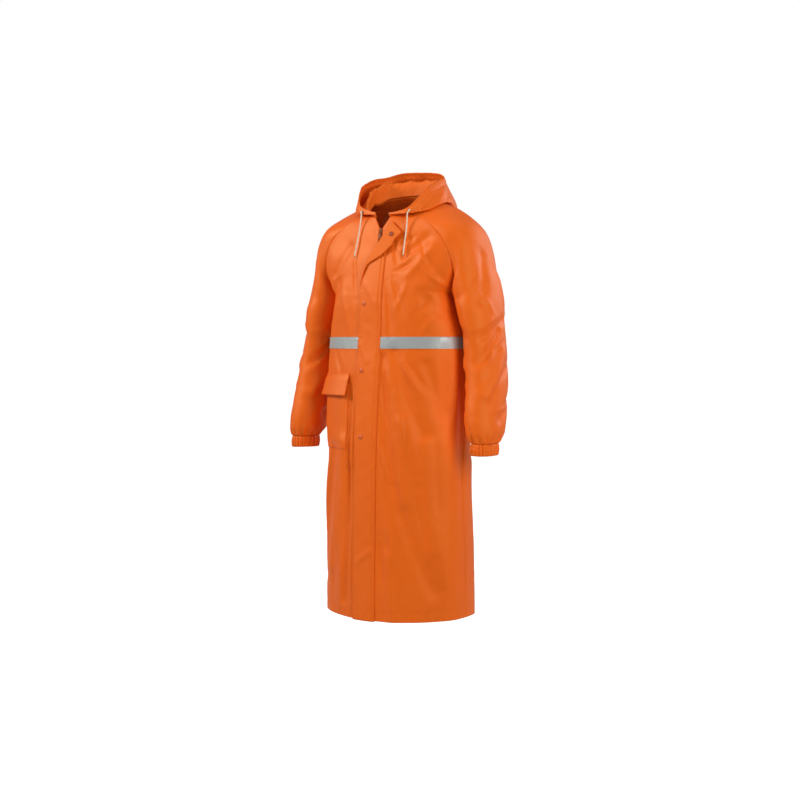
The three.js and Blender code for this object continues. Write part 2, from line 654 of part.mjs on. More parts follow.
const frontHeights = panels.front_left.grid.map((row) => row[1].z);
const flapHeights = [...frontHeights.filter((z) => z < FLAP_TOP_Z - 8), FLAP_TOP_Z];
const flapRow = (z) => flapColumns(z).map((w) => onFlap(z, w)).reverse();
const flapPanel = { storm_flap: { grid: flapHeights.map(flapRow) } };
shareNormals(flapPanel);
const flapGrid = flapPanel.storm_flap.grid;
const flapNormals = flapPanel.storm_flap.normals;
const flapFaces = [CLOTH / 2, -CLOTH / 2].map((by) => moved(flapGrid, flapNormals, by));
add("storm_flap", between(...flapFaces), ORANGE);

// Places a piece made about the upright axis with that axis along a normal
function seat(mesh, p, n) {
  mesh.position.copy(p);
  mesh.quaternion.setFromUnitVectors(v(0, 1, 0), n);
  return mesh;
}

const SNAP_PROFILE = [[0, 0], [1, 0], [1, 0.16], [0.82, 0.32], [0.45, 0.4], [0, 0.42]];
const turnedShape = (profile, radius, segments) =>
  new THREE.LatheGeometry(profile.map(([r, h]) => new THREE.Vector2(r * radius, h * radius)), segments);

const SNAPS = table("z aside", [
  [-304, 0],
  [-494, 0],
  [-682, 6],
]);
SNAPS.forEach(({ z, aside }, i) => {
  const { p, n } = onFront(flapSeam(z) - FLAP_WIDTH + SNAP_FROM_EDGE + aside, z);
  p.addScaledVector(n, GAP + CLOTH + 0.5);
  seat(add("snap_cap_" + (i + 1), turnedShape(SNAP_PROFILE, SNAP_RADIUS, 16), STEEL, 0.45, 0.6), p, n);
});

// The top snap's other half shows on the turned part of the flap
const SOCKET_PROFILE = [[0, 0], [1, 0], [1, 0.24], [0.72, 0.3], [0.6, 0.16], [0, 0.16]];
const socketZ = -90;
const socketAt = onFlap(socketZ, flapWidth(socketZ) - SNAP_FROM_EDGE);
const socketNormal = onFront(socketAt.x, socketAt.z).n;
socketAt.addScaledVector(socketNormal, CLOTH / 2 + 0.6);
const socket = add("snap_socket", turnedShape(SOCKET_PROFILE, SNAP_RADIUS - 0.6, 16), STEEL, 0.45, 0.6);
seat(socket, socketAt, socketNormal);

// Zip: a tape behind each front edge, and the slider with its hanging pull at the top
const ZIP_TAPE_X = [0.3, ZIP_HALF, 14];
const zipRows = frontRows.filter((row) => row.points[LAST_COLUMN + 1].z < ZIP_TOP_Z);
for (const [side, sign] of [["left", 1], ["right", -1]]) {
  const spots = zipRows.map((row) => ZIP_TAPE_X.map((x) => onRow(row, sign * x)));
  const normals = spots.map((row) => row.map((spot) => spot.n));
  const grid = spots.map((row) => row.map((spot) => spot.p));
  const front = moved(grid, normals, -CLOTH - GAP);
  add("zip_tape_" + side, between(front, moved(grid, normals, -CLOTH - GAP - TAPE)), ORANGE);
}

const SLIDER_Z = -96;
const SLIDER = { width: 8, height: 13, back: 1.6, front: 1.6, bridge: 1.6 };
const sliderSpot = onFront(0, SLIDER_Z);
const sliderGroup = new THREE.Group();
sliderGroup.position.copy(sliderSpot.p);
const below = onFront(0, SLIDER_Z - 20).p;
sliderGroup.rotation.x = -Math.atan2(sliderSpot.p.y - below.y, sliderSpot.p.z - below.z);
group.add(sliderGroup);

function outline(points) {
  const shape = new THREE.Shape();
  points.forEach(([x, y], i) => (i ? shape.lineTo(x, y) : shape.moveTo(x, y)));
  shape.closePath();
  return shape;
}

// Joins two closed pieces into one solid
function joined(a, b) {
  const solid = (geometry) => {
    const g = geometry.clone();
    g.deleteAttribute("normal");
    g.deleteAttribute("uv");
    const m = mergeVertices(g, 1e-4);
    const vertProperties = m.attributes.position.array;
    const triVerts = new Uint32Array(m.index.array);
    return new wasm.Manifold(new wasm.Mesh({ numProp: 3, vertProperties, triVerts }));
  };
  const mesh = solid(a).add(solid(b)).getMesh();
  return facingOut(Array.from(mesh.vertProperties), Array.from(mesh.triVerts));
}

// The slider's bridge is drawn from the side, forward and up; the pull hangs on its lower foot
const bridgeShape = outline([[1.2, -5.2], [4.9, -5.2], [4.9, 5.2], [1.2, 5.2]]);
bridgeShape.holes.push(outline([[1.6, -4], [1.6, 4], [3.7, 4], [3.7, -4]]));
const bridge = new THREE.ExtrudeGeometry(bridgeShape, { depth: SLIDER.bridge, bevelEnabled: false });
bridge.translate(0, 0, -SLIDER.bridge / 2);
bridge.applyMatrix4(new THREE.Matrix4().makeBasis(v(0, -1, 0), v(0, 0, 1), v(-1, 0, 0)));
const sliderBody = new THREE.BoxGeometry(SLIDER.width, SLIDER.back + SLIDER.front, SLIDER.height);
sliderBody.translate(0, (SLIDER.back - SLIDER.front) / 2, 0);
add("zip_slider", joined(sliderBody, bridge), STEEL, 0.4, 0.8, sliderGroup);

const PULL_AXIS = { forward: 2.65, up: -3 };
const pullShape = outline([
  [-2.2, 0.7], [2.2, 0.7], [2.8, 0.1], [2.8, -8], [3.4, -12], [3.4, 1 - PULL_LENGTH], [2.6, -PULL_LENGTH],
  [-2.6, -PULL_LENGTH], [-3.4, 1 - PULL_LENGTH], [-3.4, -12], [-2.8, -8], [-2.8, 0.1],
]);
pullShape.holes.push(outline([[-1.5, -0.7], [-1.5, -9.2], [1.5, -9.2], [1.5, -0.7]]));
const pull = new THREE.ExtrudeGeometry(pullShape, { depth: 1, bevelEnabled: false });
pull.translate(0, 0, -0.5);
pull.applyMatrix4(new THREE.Matrix4().makeBasis(v(1, 0, 0), v(0, 0, 1), v(0, -1, 0)));
const pullMesh = add("zip_pull", facingOut(...soup(pull)), STEEL, 0.4, 0.8, sliderGroup);
pullMesh.position.set(0, -PULL_AXIS.forward, PULL_AXIS.up);

function soup(geometry) {
  const m = mergeVertices(geometry.deleteAttribute("normal").deleteAttribute("uv"), 1e-4);
  return [Array.from(m.attributes.position.array), Array.from(m.index.array)];
}

// Eyelets near the front ends of the hood's rim, with a drawstring hanging from each. An eyelet's
// place is a column and a row of the hood's grid, and may lie between two of them.
const EYELETS = table("side column row", [
  ["left", 3.7, 10.8],
  ["right", 2.8, 10.2],
]);
const EYELET_PROFILE = [[2.6, 0], [4.4, 0], [4.4, 0.7], [3.8, 1.1], [3, 1.1], [2.6, 0.7], [2.6, 0]];
const EXIT_STEPS = [0.8, 2.5, 5];
const CORD_ROUTES = {
  left: table("x y z", [
    [87, -119, -51],
    [87.5, -120.5, -63],
    [87.5, -121.5, -76],
    [87.5, -123, -90],
    [87, -126, -107],
    [86.5, -130, -127],
    [86, -134.5, -151],
    [85.5, -138.5, -174],
  ]),
  right: table("x y z", [
    [-73, -120, -47],
    [-74, -121.5, -60],
    [-75, -122.5, -75],
    [-76, -124, -88],
    [-77.5, -127, -105],
    [-79, -131, -125],
    [-81, -136.5, -149],
    [-82.5, -142, -171],
  ]),
};

function onHood(grid, row, column) {
  const [r, c] = [Math.floor(row), Math.floor(column)];
  const low = grid[r][c].clone().lerp(grid[r][c + 1], column - c);
  const high = grid[r + 1][c].clone().lerp(grid[r + 1][c + 1], column - c);
  return low.lerp(high, row - r);
}

for (const { side, column, row } of EYELETS) {
  const hood = hoodPanels["hood_" + side];
  const p = onHood(hood.grid, row, column);
  const n = onHood(hood.normals, row, column).normalize();
  const eyelet = add("eyelet_" + side, turnedShape(EYELET_PROFILE, 1, 16), STEEL, 0.4, 0.7);
  seat(eyelet, p.clone().addScaledVector(n, 0.7), n);
  const exit = EXIT_STEPS.map((out) => p.clone().addScaledVector(n, out));
  const hanging = CORD_ROUTES[side].map(({ x, y, z }) => v(x, y, z));
  const route = new THREE.CatmullRomCurve3([...exit, ...hanging], false, "centripetal");
  const ring = outline(
    Array.from({ length: CORD_SIDES }, (_, i) => {
      const angle = (2 * Math.PI * i) / CORD_SIDES;
      return [CORD_RADIUS * Math.cos(angle), CORD_RADIUS * Math.sin(angle)];
    }),
  );
  const tube = new THREE.ExtrudeGeometry(ring, { steps: 16, extrudePath: route, bevelEnabled: false });
  add("drawstring_" + side, facingOut(...soup(tube)), CREAM, 0.9);
}

export default group;
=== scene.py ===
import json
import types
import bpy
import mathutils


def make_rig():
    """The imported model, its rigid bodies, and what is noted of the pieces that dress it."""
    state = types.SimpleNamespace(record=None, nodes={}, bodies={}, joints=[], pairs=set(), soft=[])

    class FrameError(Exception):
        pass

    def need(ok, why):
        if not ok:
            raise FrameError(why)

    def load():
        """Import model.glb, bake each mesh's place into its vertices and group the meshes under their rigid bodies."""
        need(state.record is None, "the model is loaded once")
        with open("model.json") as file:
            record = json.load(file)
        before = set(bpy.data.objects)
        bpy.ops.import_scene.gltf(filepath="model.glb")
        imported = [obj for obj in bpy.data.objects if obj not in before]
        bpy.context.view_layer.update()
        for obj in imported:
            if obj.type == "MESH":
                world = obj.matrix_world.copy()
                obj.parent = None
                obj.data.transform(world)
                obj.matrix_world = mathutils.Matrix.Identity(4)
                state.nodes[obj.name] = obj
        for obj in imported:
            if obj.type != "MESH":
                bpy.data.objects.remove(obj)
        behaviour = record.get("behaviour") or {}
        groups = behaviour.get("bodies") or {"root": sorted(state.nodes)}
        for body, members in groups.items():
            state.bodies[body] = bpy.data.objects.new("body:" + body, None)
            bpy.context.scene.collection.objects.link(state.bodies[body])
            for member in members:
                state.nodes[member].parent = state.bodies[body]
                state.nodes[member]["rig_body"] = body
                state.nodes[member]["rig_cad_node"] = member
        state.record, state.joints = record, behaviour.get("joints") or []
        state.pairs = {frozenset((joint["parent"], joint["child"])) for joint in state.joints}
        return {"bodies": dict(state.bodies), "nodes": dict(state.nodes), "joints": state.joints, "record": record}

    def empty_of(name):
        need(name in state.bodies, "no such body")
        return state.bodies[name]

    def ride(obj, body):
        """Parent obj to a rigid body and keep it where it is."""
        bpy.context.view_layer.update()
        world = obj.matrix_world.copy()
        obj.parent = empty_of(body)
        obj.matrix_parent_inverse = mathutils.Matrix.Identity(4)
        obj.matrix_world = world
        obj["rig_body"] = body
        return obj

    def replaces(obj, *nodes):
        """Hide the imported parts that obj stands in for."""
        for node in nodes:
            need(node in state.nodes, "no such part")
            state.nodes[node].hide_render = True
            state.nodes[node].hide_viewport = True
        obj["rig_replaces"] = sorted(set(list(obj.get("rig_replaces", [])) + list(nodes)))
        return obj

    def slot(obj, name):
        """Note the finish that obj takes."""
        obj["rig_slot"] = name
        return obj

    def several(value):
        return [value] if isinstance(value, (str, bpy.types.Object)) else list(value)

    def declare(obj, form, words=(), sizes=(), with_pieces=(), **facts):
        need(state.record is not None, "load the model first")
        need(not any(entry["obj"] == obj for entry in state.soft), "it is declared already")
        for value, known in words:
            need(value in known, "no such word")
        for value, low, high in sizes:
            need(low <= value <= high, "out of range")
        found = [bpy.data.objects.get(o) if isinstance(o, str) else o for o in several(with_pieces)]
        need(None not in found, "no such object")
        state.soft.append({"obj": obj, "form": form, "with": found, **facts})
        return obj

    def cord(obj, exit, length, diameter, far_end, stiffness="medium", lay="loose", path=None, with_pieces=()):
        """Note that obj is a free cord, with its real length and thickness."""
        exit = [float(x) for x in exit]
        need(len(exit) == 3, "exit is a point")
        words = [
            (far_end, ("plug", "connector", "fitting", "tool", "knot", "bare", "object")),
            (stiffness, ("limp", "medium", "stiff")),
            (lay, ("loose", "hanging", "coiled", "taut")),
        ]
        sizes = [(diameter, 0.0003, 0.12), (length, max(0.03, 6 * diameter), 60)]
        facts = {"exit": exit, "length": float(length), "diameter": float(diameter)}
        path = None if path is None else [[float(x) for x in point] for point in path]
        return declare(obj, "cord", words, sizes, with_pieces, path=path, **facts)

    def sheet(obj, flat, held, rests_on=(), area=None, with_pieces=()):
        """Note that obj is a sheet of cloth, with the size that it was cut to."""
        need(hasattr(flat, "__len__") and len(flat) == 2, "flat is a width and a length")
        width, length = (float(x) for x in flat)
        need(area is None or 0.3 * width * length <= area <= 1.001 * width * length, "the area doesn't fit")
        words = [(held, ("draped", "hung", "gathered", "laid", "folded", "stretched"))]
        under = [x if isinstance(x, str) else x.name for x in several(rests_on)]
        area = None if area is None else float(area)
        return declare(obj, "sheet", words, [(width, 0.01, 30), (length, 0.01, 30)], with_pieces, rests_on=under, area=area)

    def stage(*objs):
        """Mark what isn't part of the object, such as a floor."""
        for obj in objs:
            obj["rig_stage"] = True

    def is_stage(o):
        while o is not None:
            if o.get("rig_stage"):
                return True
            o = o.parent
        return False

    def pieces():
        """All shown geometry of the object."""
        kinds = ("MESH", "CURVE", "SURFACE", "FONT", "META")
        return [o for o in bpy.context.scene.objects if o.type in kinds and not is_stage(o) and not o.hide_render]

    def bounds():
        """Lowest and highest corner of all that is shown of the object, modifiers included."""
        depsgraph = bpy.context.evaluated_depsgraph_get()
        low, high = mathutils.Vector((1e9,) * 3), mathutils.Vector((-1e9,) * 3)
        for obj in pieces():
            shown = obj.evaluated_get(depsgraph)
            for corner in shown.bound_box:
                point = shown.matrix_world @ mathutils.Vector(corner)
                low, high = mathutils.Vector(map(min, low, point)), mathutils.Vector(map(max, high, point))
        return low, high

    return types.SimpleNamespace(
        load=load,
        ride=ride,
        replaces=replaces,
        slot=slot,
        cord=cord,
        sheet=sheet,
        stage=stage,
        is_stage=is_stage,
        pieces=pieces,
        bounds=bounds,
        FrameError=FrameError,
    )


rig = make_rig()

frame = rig.load()
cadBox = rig.bounds()

import json
import math
import bpy
import numpy as np
from mathutils import Vector

mm = 0.001
scene = bpy.context.scene
nodes = frame["nodes"]
mirrorX = np.array([-1, 1, 1.0])

# the camera stands where the picture was taken from, in metres and degrees
view = {
    "turn": 35.0,
    "distance": 4.2,
    "height": -0.415,
    "shiftLeft": 0.0176,
    "pitch": 2.28,
    "lens": 64.5,
}


def placeCamera():
    turn = math.radians(view["turn"])
    data = bpy.data.cameras.new("camera")
    data.lens = view["lens"]
    data.sensor_width = 36
    camera = bpy.data.objects.new("camera", data)
    scene.collection.objects.link(camera)
    x = math.sin(turn) * view["distance"] - math.cos(turn) * view["shiftLeft"]
    y = -math.cos(turn) * view["distance"] - math.sin(turn) * view["shiftLeft"]
    camera.location = (x, y, view["height"])
    camera.rotation_euler = (math.radians(90 - view["pitch"]), 0, turn)
    scene.camera = camera


placeCamera()
print("camera placed")


def groupNodes(name, inputs, outputs):
    tree = bpy.data.node_groups.new(name, "ShaderNodeTree")
    for socket, kind, value in inputs:
        made = tree.interface.new_socket(socket, in_out="INPUT", socket_type=kind)
        made.default_value = value
    for socket, kind in outputs:
        tree.interface.new_socket(socket, in_out="OUTPUT", socket_type=kind)
    return tree, tree.nodes.new("NodeGroupInput"), tree.nodes.new("NodeGroupOutput")


def addNode(tree, kind, links=None, **values):
    node = tree.nodes.new(kind)
    for key, value in values.items():
        if hasattr(node, key):
            setattr(node, key, value)
        else:
            node.inputs[key.replace("_", " ")].default_value = value
    for socket, source in (links or {}).items():
        tree.links.new(source, node.inputs[socket])
    return node


def makeWeave():  # woven threads as a height: two sets of waves that cross
    tree, start, end = groupNodes("woven threads", [("Threads", "NodeSocketFloat", 900.0)],
                                  [("Height", "NodeSocketFloat")])
    place = addNode(tree, "ShaderNodeTexCoord")
    waves = []
    for axis in ("Z", "DIAGONAL"):
        links = {"Vector": place.outputs["Object"], "Scale": start.outputs["Threads"]}
        wave = addNode(tree, "ShaderNodeTexWave", links, bands_direction=axis)
        wave.inputs["Distortion"].default_value = 1.2
        wave.inputs["Detail"].default_value = 1.0
        waves.append(wave)
    both = {0: waves[0].outputs["Fac"], 1: waves[1].outputs["Fac"]}
    height = addNode(tree, "ShaderNodeMath", both, operation="MULTIPLY")
    tree.links.new(height.outputs[0], end.inputs["Height"])
    return tree


def makeCrumple():  # small soft crumples as a height, longer up and down than across
    tree, start, end = groupNodes("small crumples", [
        ("Scale", "NodeSocketFloat", 22.0), ("Stretch", "NodeSocketFloat", 0.6)],
        [("Height", "NodeSocketFloat")])
    place = addNode(tree, "ShaderNodeTexCoord")
    squeeze = addNode(tree, "ShaderNodeCombineXYZ", {"Z": start.outputs["Stretch"]}, X=1.0, Y=1.0)
    spot = addNode(tree, "ShaderNodeVectorMath", {0: place.outputs["Object"], 1: squeeze.outputs[0]},
                   operation="MULTIPLY")
    noise = addNode(tree, "ShaderNodeTexNoise",
                    {"Vector": spot.outputs[0], "Scale": start.outputs["Scale"]},
                    Detail=3.0, Roughness=0.45, Distortion=0.6)
    tree.links.new(noise.outputs["Fac"], end.inputs["Height"])
    return tree


def makeDrift():  # slow change of shade over a surface's colour
    tree, start, end = groupNodes("shade drift", [
        ("Base", "NodeSocketColor", (0.8, 0.2, 0.05, 1)),
        ("Shade", "NodeSocketColor", (0.6, 0.1, 0.02, 1)),
        ("Scale", "NodeSocketFloat", 5.0), ("Amount", "NodeSocketFloat", 0.3)],
        [("Color", "NodeSocketColor")])
    place = addNode(tree, "ShaderNodeTexCoord")
    noise = addNode(tree, "ShaderNodeTexNoise",
                    {"Vector": place.outputs["Object"], "Scale": start.outputs["Scale"]}, Detail=4.0)
    spread = addNode(tree, "ShaderNodeMapRange", {"Value": noise.outputs["Fac"]},
                     From_Min=0.35, From_Max=0.7)
    part = addNode(tree, "ShaderNodeMath", {0: spread.outputs[0], 1: start.outputs["Amount"]},
                   operation="MULTIPLY")
    mix = addNode(tree, "ShaderNodeMix", data_type="RGBA")
    tree.links.new(part.outputs[0], mix.inputs[0])
    tree.links.new(start.outputs["Base"], mix.inputs[6])
    tree.links.new(start.outputs["Shade"], mix.inputs[7])
    tree.links.new(mix.outputs[2], end.inputs["Color"])
    return tree


weaveGroup, crumpleGroup, driftGroup = makeWeave(), makeCrumple(), makeDrift()


def placeGroup(tree, group, **values):
    node = tree.nodes.new("ShaderNodeGroup")
    node.node_tree = group
    for key, value in values.items():
        node.inputs[key].default_value = value
    return node


def finish(name, look):  # a material from one row of looks
    made = bpy.data.materials.new(name)
    made.use_nodes = True
    tree = made.node_tree
    shader = tree.nodes["Principled BSDF"]
    colour = placeGroup(tree, driftGroup, Base=(*look["base"], 1), Shade=(*look["shade"], 1),
                        Scale=look["driftScale"], Amount=look["drift"])
    threads = placeGroup(tree, weaveGroup, Threads=look["threads"])
    crumples = placeGroup(tree, crumpleGroup, Scale=look["crumpleScale"], Stretch=0.6)
    fine = addNode(tree, "ShaderNodeBump", {"Height": threads.outputs[0]},
                   Strength=look["weave"], Distance=0.0003)
    broad = addNode(tree, "ShaderNodeBump", {"Height": crumples.outputs[0], "Normal": fine.outputs[0]},
                    Strength=look["crumple"], Distance=look["crumpleDepth"])
    tree.links.new(colour.outputs[0], shader.inputs["Base Color"])
    tree.links.new(broad.outputs[0], shader.inputs["Normal"])
    for socket in ("Roughness", "Metallic", "Specular IOR Level"):
        shader.inputs[socket].default_value = look[socket]
    shader.inputs["Specular Tint"].default_value = (*look["tint"], 1)
    return made


plainCloth = {
    "base": (0.83, 0.128, 0.006), "shade": (0.76, 0.1, 0.004), "driftScale": 6.0, "drift": 0.3,
    "threads": 900.0, "weave": 0.3, "crumpleScale": 24.0, "crumple": 0.3, "crumpleDepth": 0.004,
    "Roughness": 0.46, "Metallic": 0.0, "Specular IOR Level": 0.5, "tint": (1.0, 0.72, 0.3),
}
plainMetal = {
    **plainCloth, "driftScale": 120.0, "drift": 0.5, "threads": 3000.0, "weave": 0.05,
    "crumpleScale": 400.0, "crumple": 0.1, "crumpleDepth": 0.0004, "Metallic": 1.0,
    "Roughness": 0.35, "tint": (1.0, 1.0, 1.0),
}
looks = {
    "orange coated cloth": plainCloth,
    "paler inside of the cloth": {**plainCloth, "base": (0.86, 0.145, 0.01),
                                  "shade": (0.8, 0.11, 0.006), "weave": 0.5, "Roughness": 0.6},
    "grey reflective tape": {**plainCloth, "base": (0.4, 0.42, 0.4), "shade": (0.31, 0.33, 0.32),
                             "threads": 1400.0, "weave": 0.2, "crumple": 0.15, "Roughness": 0.4,
                             "Metallic": 0.2, "tint": (1.0, 1.0, 1.0)},
    "cream braided cord": {**plainCloth, "base": (0.8, 0.7, 0.55), "shade": (0.62, 0.5, 0.36),
                           "driftScale": 90.0, "threads": 1900.0, "weave": 0.8, "crumple": 0.05,
                           "Roughness": 0.85},
    "orange sewing thread": {**plainCloth, "base": (0.8, 0.13, 0.014), "driftScale": 200.0,
                             "threads": 3000.0, "crumple": 0.0},
    "grey sewing thread": {**plainCloth, "base": (0.5, 0.5, 0.48), "shade": (0.42, 0.42, 0.4),
                           "driftScale": 200.0, "threads": 3000.0, "crumple": 0.0},
    "zip tape": {**plainCloth, "base": (0.7, 0.11, 0.012), "shade": (0.6, 0.08, 0.01),
                 "threads": 1600.0, "weave": 0.8, "crumple": 0.1, "Roughness": 0.7},
    "painted zip metal": {**plainMetal, "base": (0.3, 0.085, 0.03), "shade": (0.2, 0.06, 0.025),
                          "Metallic": 0.0, "Specular IOR Level": 0.25, "Roughness": 0.55},
    "painted snap": {**plainMetal, "base": (0.66, 0.11, 0.014), "shade": (0.56, 0.08, 0.01),
                     "Metallic": 0.0, "Specular IOR Level": 0.35, "Roughness": 0.4},
    # a darker orange than the snap caps
    "darker snap socket": {**plainMetal, "base": (0.4, 0.07, 0.015), "shade": (0.2, 0.05, 0.02),
                         "Metallic": 0.0, "Specular IOR Level": 0.25, "Roughness": 0.55},
    "dull eyelet metal": {**plainMetal, "base": (0.17, 0.09, 0.05), "shade": (0.1, 0.05, 0.03),
                          "Metallic": 0.2, "Roughness": 0.5},
    # dark colour on the cord's thin end: painted shadow of the cord on the coat, not a real tip
    "painted cord end shadow": {**plainCloth, "base": (0.3, 0.2, 0.12), "shade": (0.2, 0.13, 0.08),
                      "driftScale": 300.0, "threads": 1900.0, "weave": 0.6, "crumple": 0.0},
}
finishes = {name: finish(name, look) for name, look in looks.items()}
orange, inside = finishes["orange coated cloth"], finishes["paler inside of the cloth"]
print("finishes made")


def meshPiece(name, points, faces, materials=(), faceMaterials=None):
    mesh = bpy.data.meshes.new(name)
    mesh.from_pydata((np.asarray(points) * mm).tolist(), [], np.asarray(faces).tolist())
    mesh.polygons.foreach_set("use_smooth", [True] * len(mesh.polygons))
    for material in materials:
        mesh.materials.append(material)
    if faceMaterials is not None:
        mesh.polygons.foreach_set("material_index", np.asarray(faceMaterials, int))
    mesh.update()
    piece = bpy.data.objects.new(name, mesh)
    scene.collection.objects.link(piece)
    return piece


def dress(piece, slot, *replaced, body="coat"):
    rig.ride(piece, body)
    if replaced:
        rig.replaces(piece, *replaced)
    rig.slot(piece, slot)
    return piece


def smoothPath(points, steps=24):  # a rounded curve through each row of points
    first = 2 * points[:, :1] - points[:, 1:2]
    last = 2 * points[:, -1:] - points[:, -2:-1]
    p = np.concatenate([first, points, last], axis=1)
    gap = np.maximum(np.linalg.norm(np.diff(p, axis=1), axis=2), 1e-6) ** 0.5
    t = np.linspace(0, 1, steps, endpoint=False)[None, :, None]
    parts = []
    for k in range(points.shape[1] - 1):
        a, b, c, d = (p[:, k + j][:, None] for j in range(4))
        g0, g1, g2 = (gap[:, k + j][:, None, None] for j in range(3))
        m1 = ((b - a) / g0 - (c - a) / (g0 + g1) + (c - b) / g1) * g1
        m2 = ((c - b) / g1 - (d - b) / (g1 + g2) + (d - c) / g2) * g1
        parts.append(b + m1 * t + (3 * (c - b) - 2 * m1 - m2) * t ** 2
                     + (2 * (b - c) + m1 + m2) * t ** 3)
    return np.concatenate(parts + [points[:, -1:]], axis=1)


def resample(path, distances):  # points at given distances along each row of paths
    step = np.linalg.norm(np.diff(path, axis=1), axis=2)
    run = np.concatenate([np.zeros((len(path), 1)), np.cumsum(step, axis=1)], axis=1)
    wanted = distances(run[:, -1])
    return np.stack([
        np.stack([np.interp(wanted[r], run[r], path[r, :, k]) for k in range(3)], axis=-1)
        for r in range(len(path))])


# drawstrings: the route's points in metres, from the eyelet down
cords = {
    "radius": 2.0,
    "strands": 8,
    "braidDepth": 0.22,
    "braidPitch": 6.5,
    # the thinner, dark last part of each cord stands in for the cord's shadow
    "tipLength": 9.0,
    "tipRadius": 1.1,
    "left": [
        (0.089015, -0.109147, -0.040282), (0.08978, -0.110633, -0.039972),
        (0.090905, -0.112818, -0.039517), (0.087, -0.119, -0.051), (0.0875, -0.1205, -0.063),
        (0.0875, -0.1215, -0.076), (0.0875, -0.123, -0.09), (0.087, -0.126, -0.107),
        (0.0865, -0.13, -0.127), (0.086, -0.1345, -0.151), (0.0855, -0.1385, -0.174)],
    "right": [
        (-0.073492, -0.115266, -0.038244), (-0.073926, -0.116903, -0.038106),
        (-0.074564, -0.119311, -0.037903), (-0.073, -0.12, -0.047), (-0.074, -0.1215, -0.06),
        (-0.075, -0.1225, -0.075), (-0.076, -0.124, -0.088), (-0.0775, -0.127, -0.105),
        (-0.079, -0.131, -0.125), (-0.081, -0.1365, -0.149), (-0.0825, -0.142, -0.171)],
}


def makeCord(side):  # a braided tube along the route; its last part is made thinner and dark, a painted shadow of the cord's end
    route = smoothPath(np.array([cords[side]]) / mm, 40)
    rings = 330
    path = resample(route, lambda total: np.linspace(0, total[0], rings)[None])[0]
    run = np.linspace(0, np.linalg.norm(np.diff(path, axis=0), axis=1).sum(), rings)
    along = np.gradient(path, axis=0)
    along /= np.linalg.norm(along, axis=1, keepdims=True)
    across = np.array([1.0, 0, 0]) - along * along[:, :1]
    across /= np.linalg.norm(across, axis=1, keepdims=True)
    other = np.cross(along, across)
    sides = 24
    angle = np.linspace(0, 2 * math.pi, sides, endpoint=False)[None]
    turnOf = 2 * math.pi * run[:, None] / cords["braidPitch"]
    half = cords["strands"] / 2
    braid = np.maximum(np.cos(half * (angle + turnOf / half)), np.cos(half * (angle - turnOf / half)))
    tip = np.clip((run[-1] - run) / cords["tipLength"], 0, 1)[:, None]
    radius = cords["tipRadius"] + (cords["radius"] - cords["tipRadius"]) * np.clip(tip * 3 - 1.6, 0, 1)
    radius = radius - cords["braidDepth"] * (1 - braid) * 0.5
    points = path[:, None] + radius[..., None] * (
        np.cos(angle)[..., None] * across[:, None] + np.sin(angle)[..., None] * other[:, None])
    r, c = np.meshgrid(np.arange(rings - 1), np.arange(sides), indexing="ij")
    a, b = (r * sides + c).ravel(), (r * sides + (c + 1) % sides).ravel()
    faces = np.stack([a, b, b + sides, a + sides], axis=1).tolist()
    # faces near the end take the painted shadow colour
    marks = (run[r.ravel()] > run[-1] - cords["tipLength"] * 0.8).astype(int).tolist()
    last = (rings - 1) * sides
    faces += [list(range(sides))[::-1], [last + k for k in range(sides)]]
    piece = bpy.data.meshes.new("drawstring_" + side)
    piece.from_pydata((points.reshape(-1, 3) * mm).tolist(), [], faces)
    piece.polygons.foreach_set("use_smooth", [True] * len(faces))
    for name in ("cream braided cord", "painted cord end shadow"):
        piece.materials.append(finishes[name])
    piece.polygons.foreach_set("material_index", marks + [0, 1])
    cord = bpy.data.objects.new("cord_" + side, piece)
    scene.collection.objects.link(cord)
    dress(cord, "drawstring", "drawstring_" + side)
    line = resample(route, lambda total: np.linspace(0, total[0], 33)[None])[0] * mm
    length = float(np.linalg.norm(np.diff(line, axis=0), axis=1).sum())
    print("drawstring", side, "length", round(length, 4))
    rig.cord(cord, exit=tuple(line[0]), length=round(length, 3), diameter=2 * cords["radius"] * mm,
            far_end="bare", stiffness="limp", lay="hanging", path=[tuple(p) for p in line])


for side in ("left", "right"):
    makeCord(side)


# sizes of the coat, in millimetres
coat = {
    "cloth": 1.6,
    "gap": 0.4,
    "hemZ": -1192.0,
    "hemFrontDrop": 10.0,
    "hemDepth": 23.0,
    "zipHalf": 5.0,
    "zipTopZ": -88.0,
    "neckZ": -57.0,
    "neckOpening": 22.0,
    "neckSpread": 17.0,
    "flapSeamX": 26.0,
    "rowStep": 5.5,
    "yokeRows": 62,
    "backHalfColumns": 56,
    "sleeveColumns": 112,
    "wrinkleSize": 46.0,
    "wrinkleDepth": 0.7,
    "foldDepth": 1.2,
    "creaseDepth": 2.1,
    "seamDip": 1.0,
    "seamPucker": 0.7,
}


def table(columns, rows):
    names = columns.split()
    return {name: np.array([row[i] for row in rows], float) for i, name in enumerate(names)}


# sections of the body below the armholes
body = table("z halfWidth frontY sideY backY square", [
    (-275, 195, -157, -25, 118, 0.84),
    (-311, 205, -160, -25, 118, 0.8),
    (-360, 219, -162, -25, 117, 0.7),
    (-415, 229, -165, -26, 115, 0.63),
    (-487, 232, -173, -31, 110, 0.61),
    (-590, 232, -180, -37, 106, 0.59),
    (-700, 230, -186, -43, 105, 0.58),
    (-850, 230, -190, -48, 109, 0.58),
    (-1000, 233, -193, -44, 118, 0.58),
    (coat["hemZ"], 233, -195, -38, 128, 0.58),
])

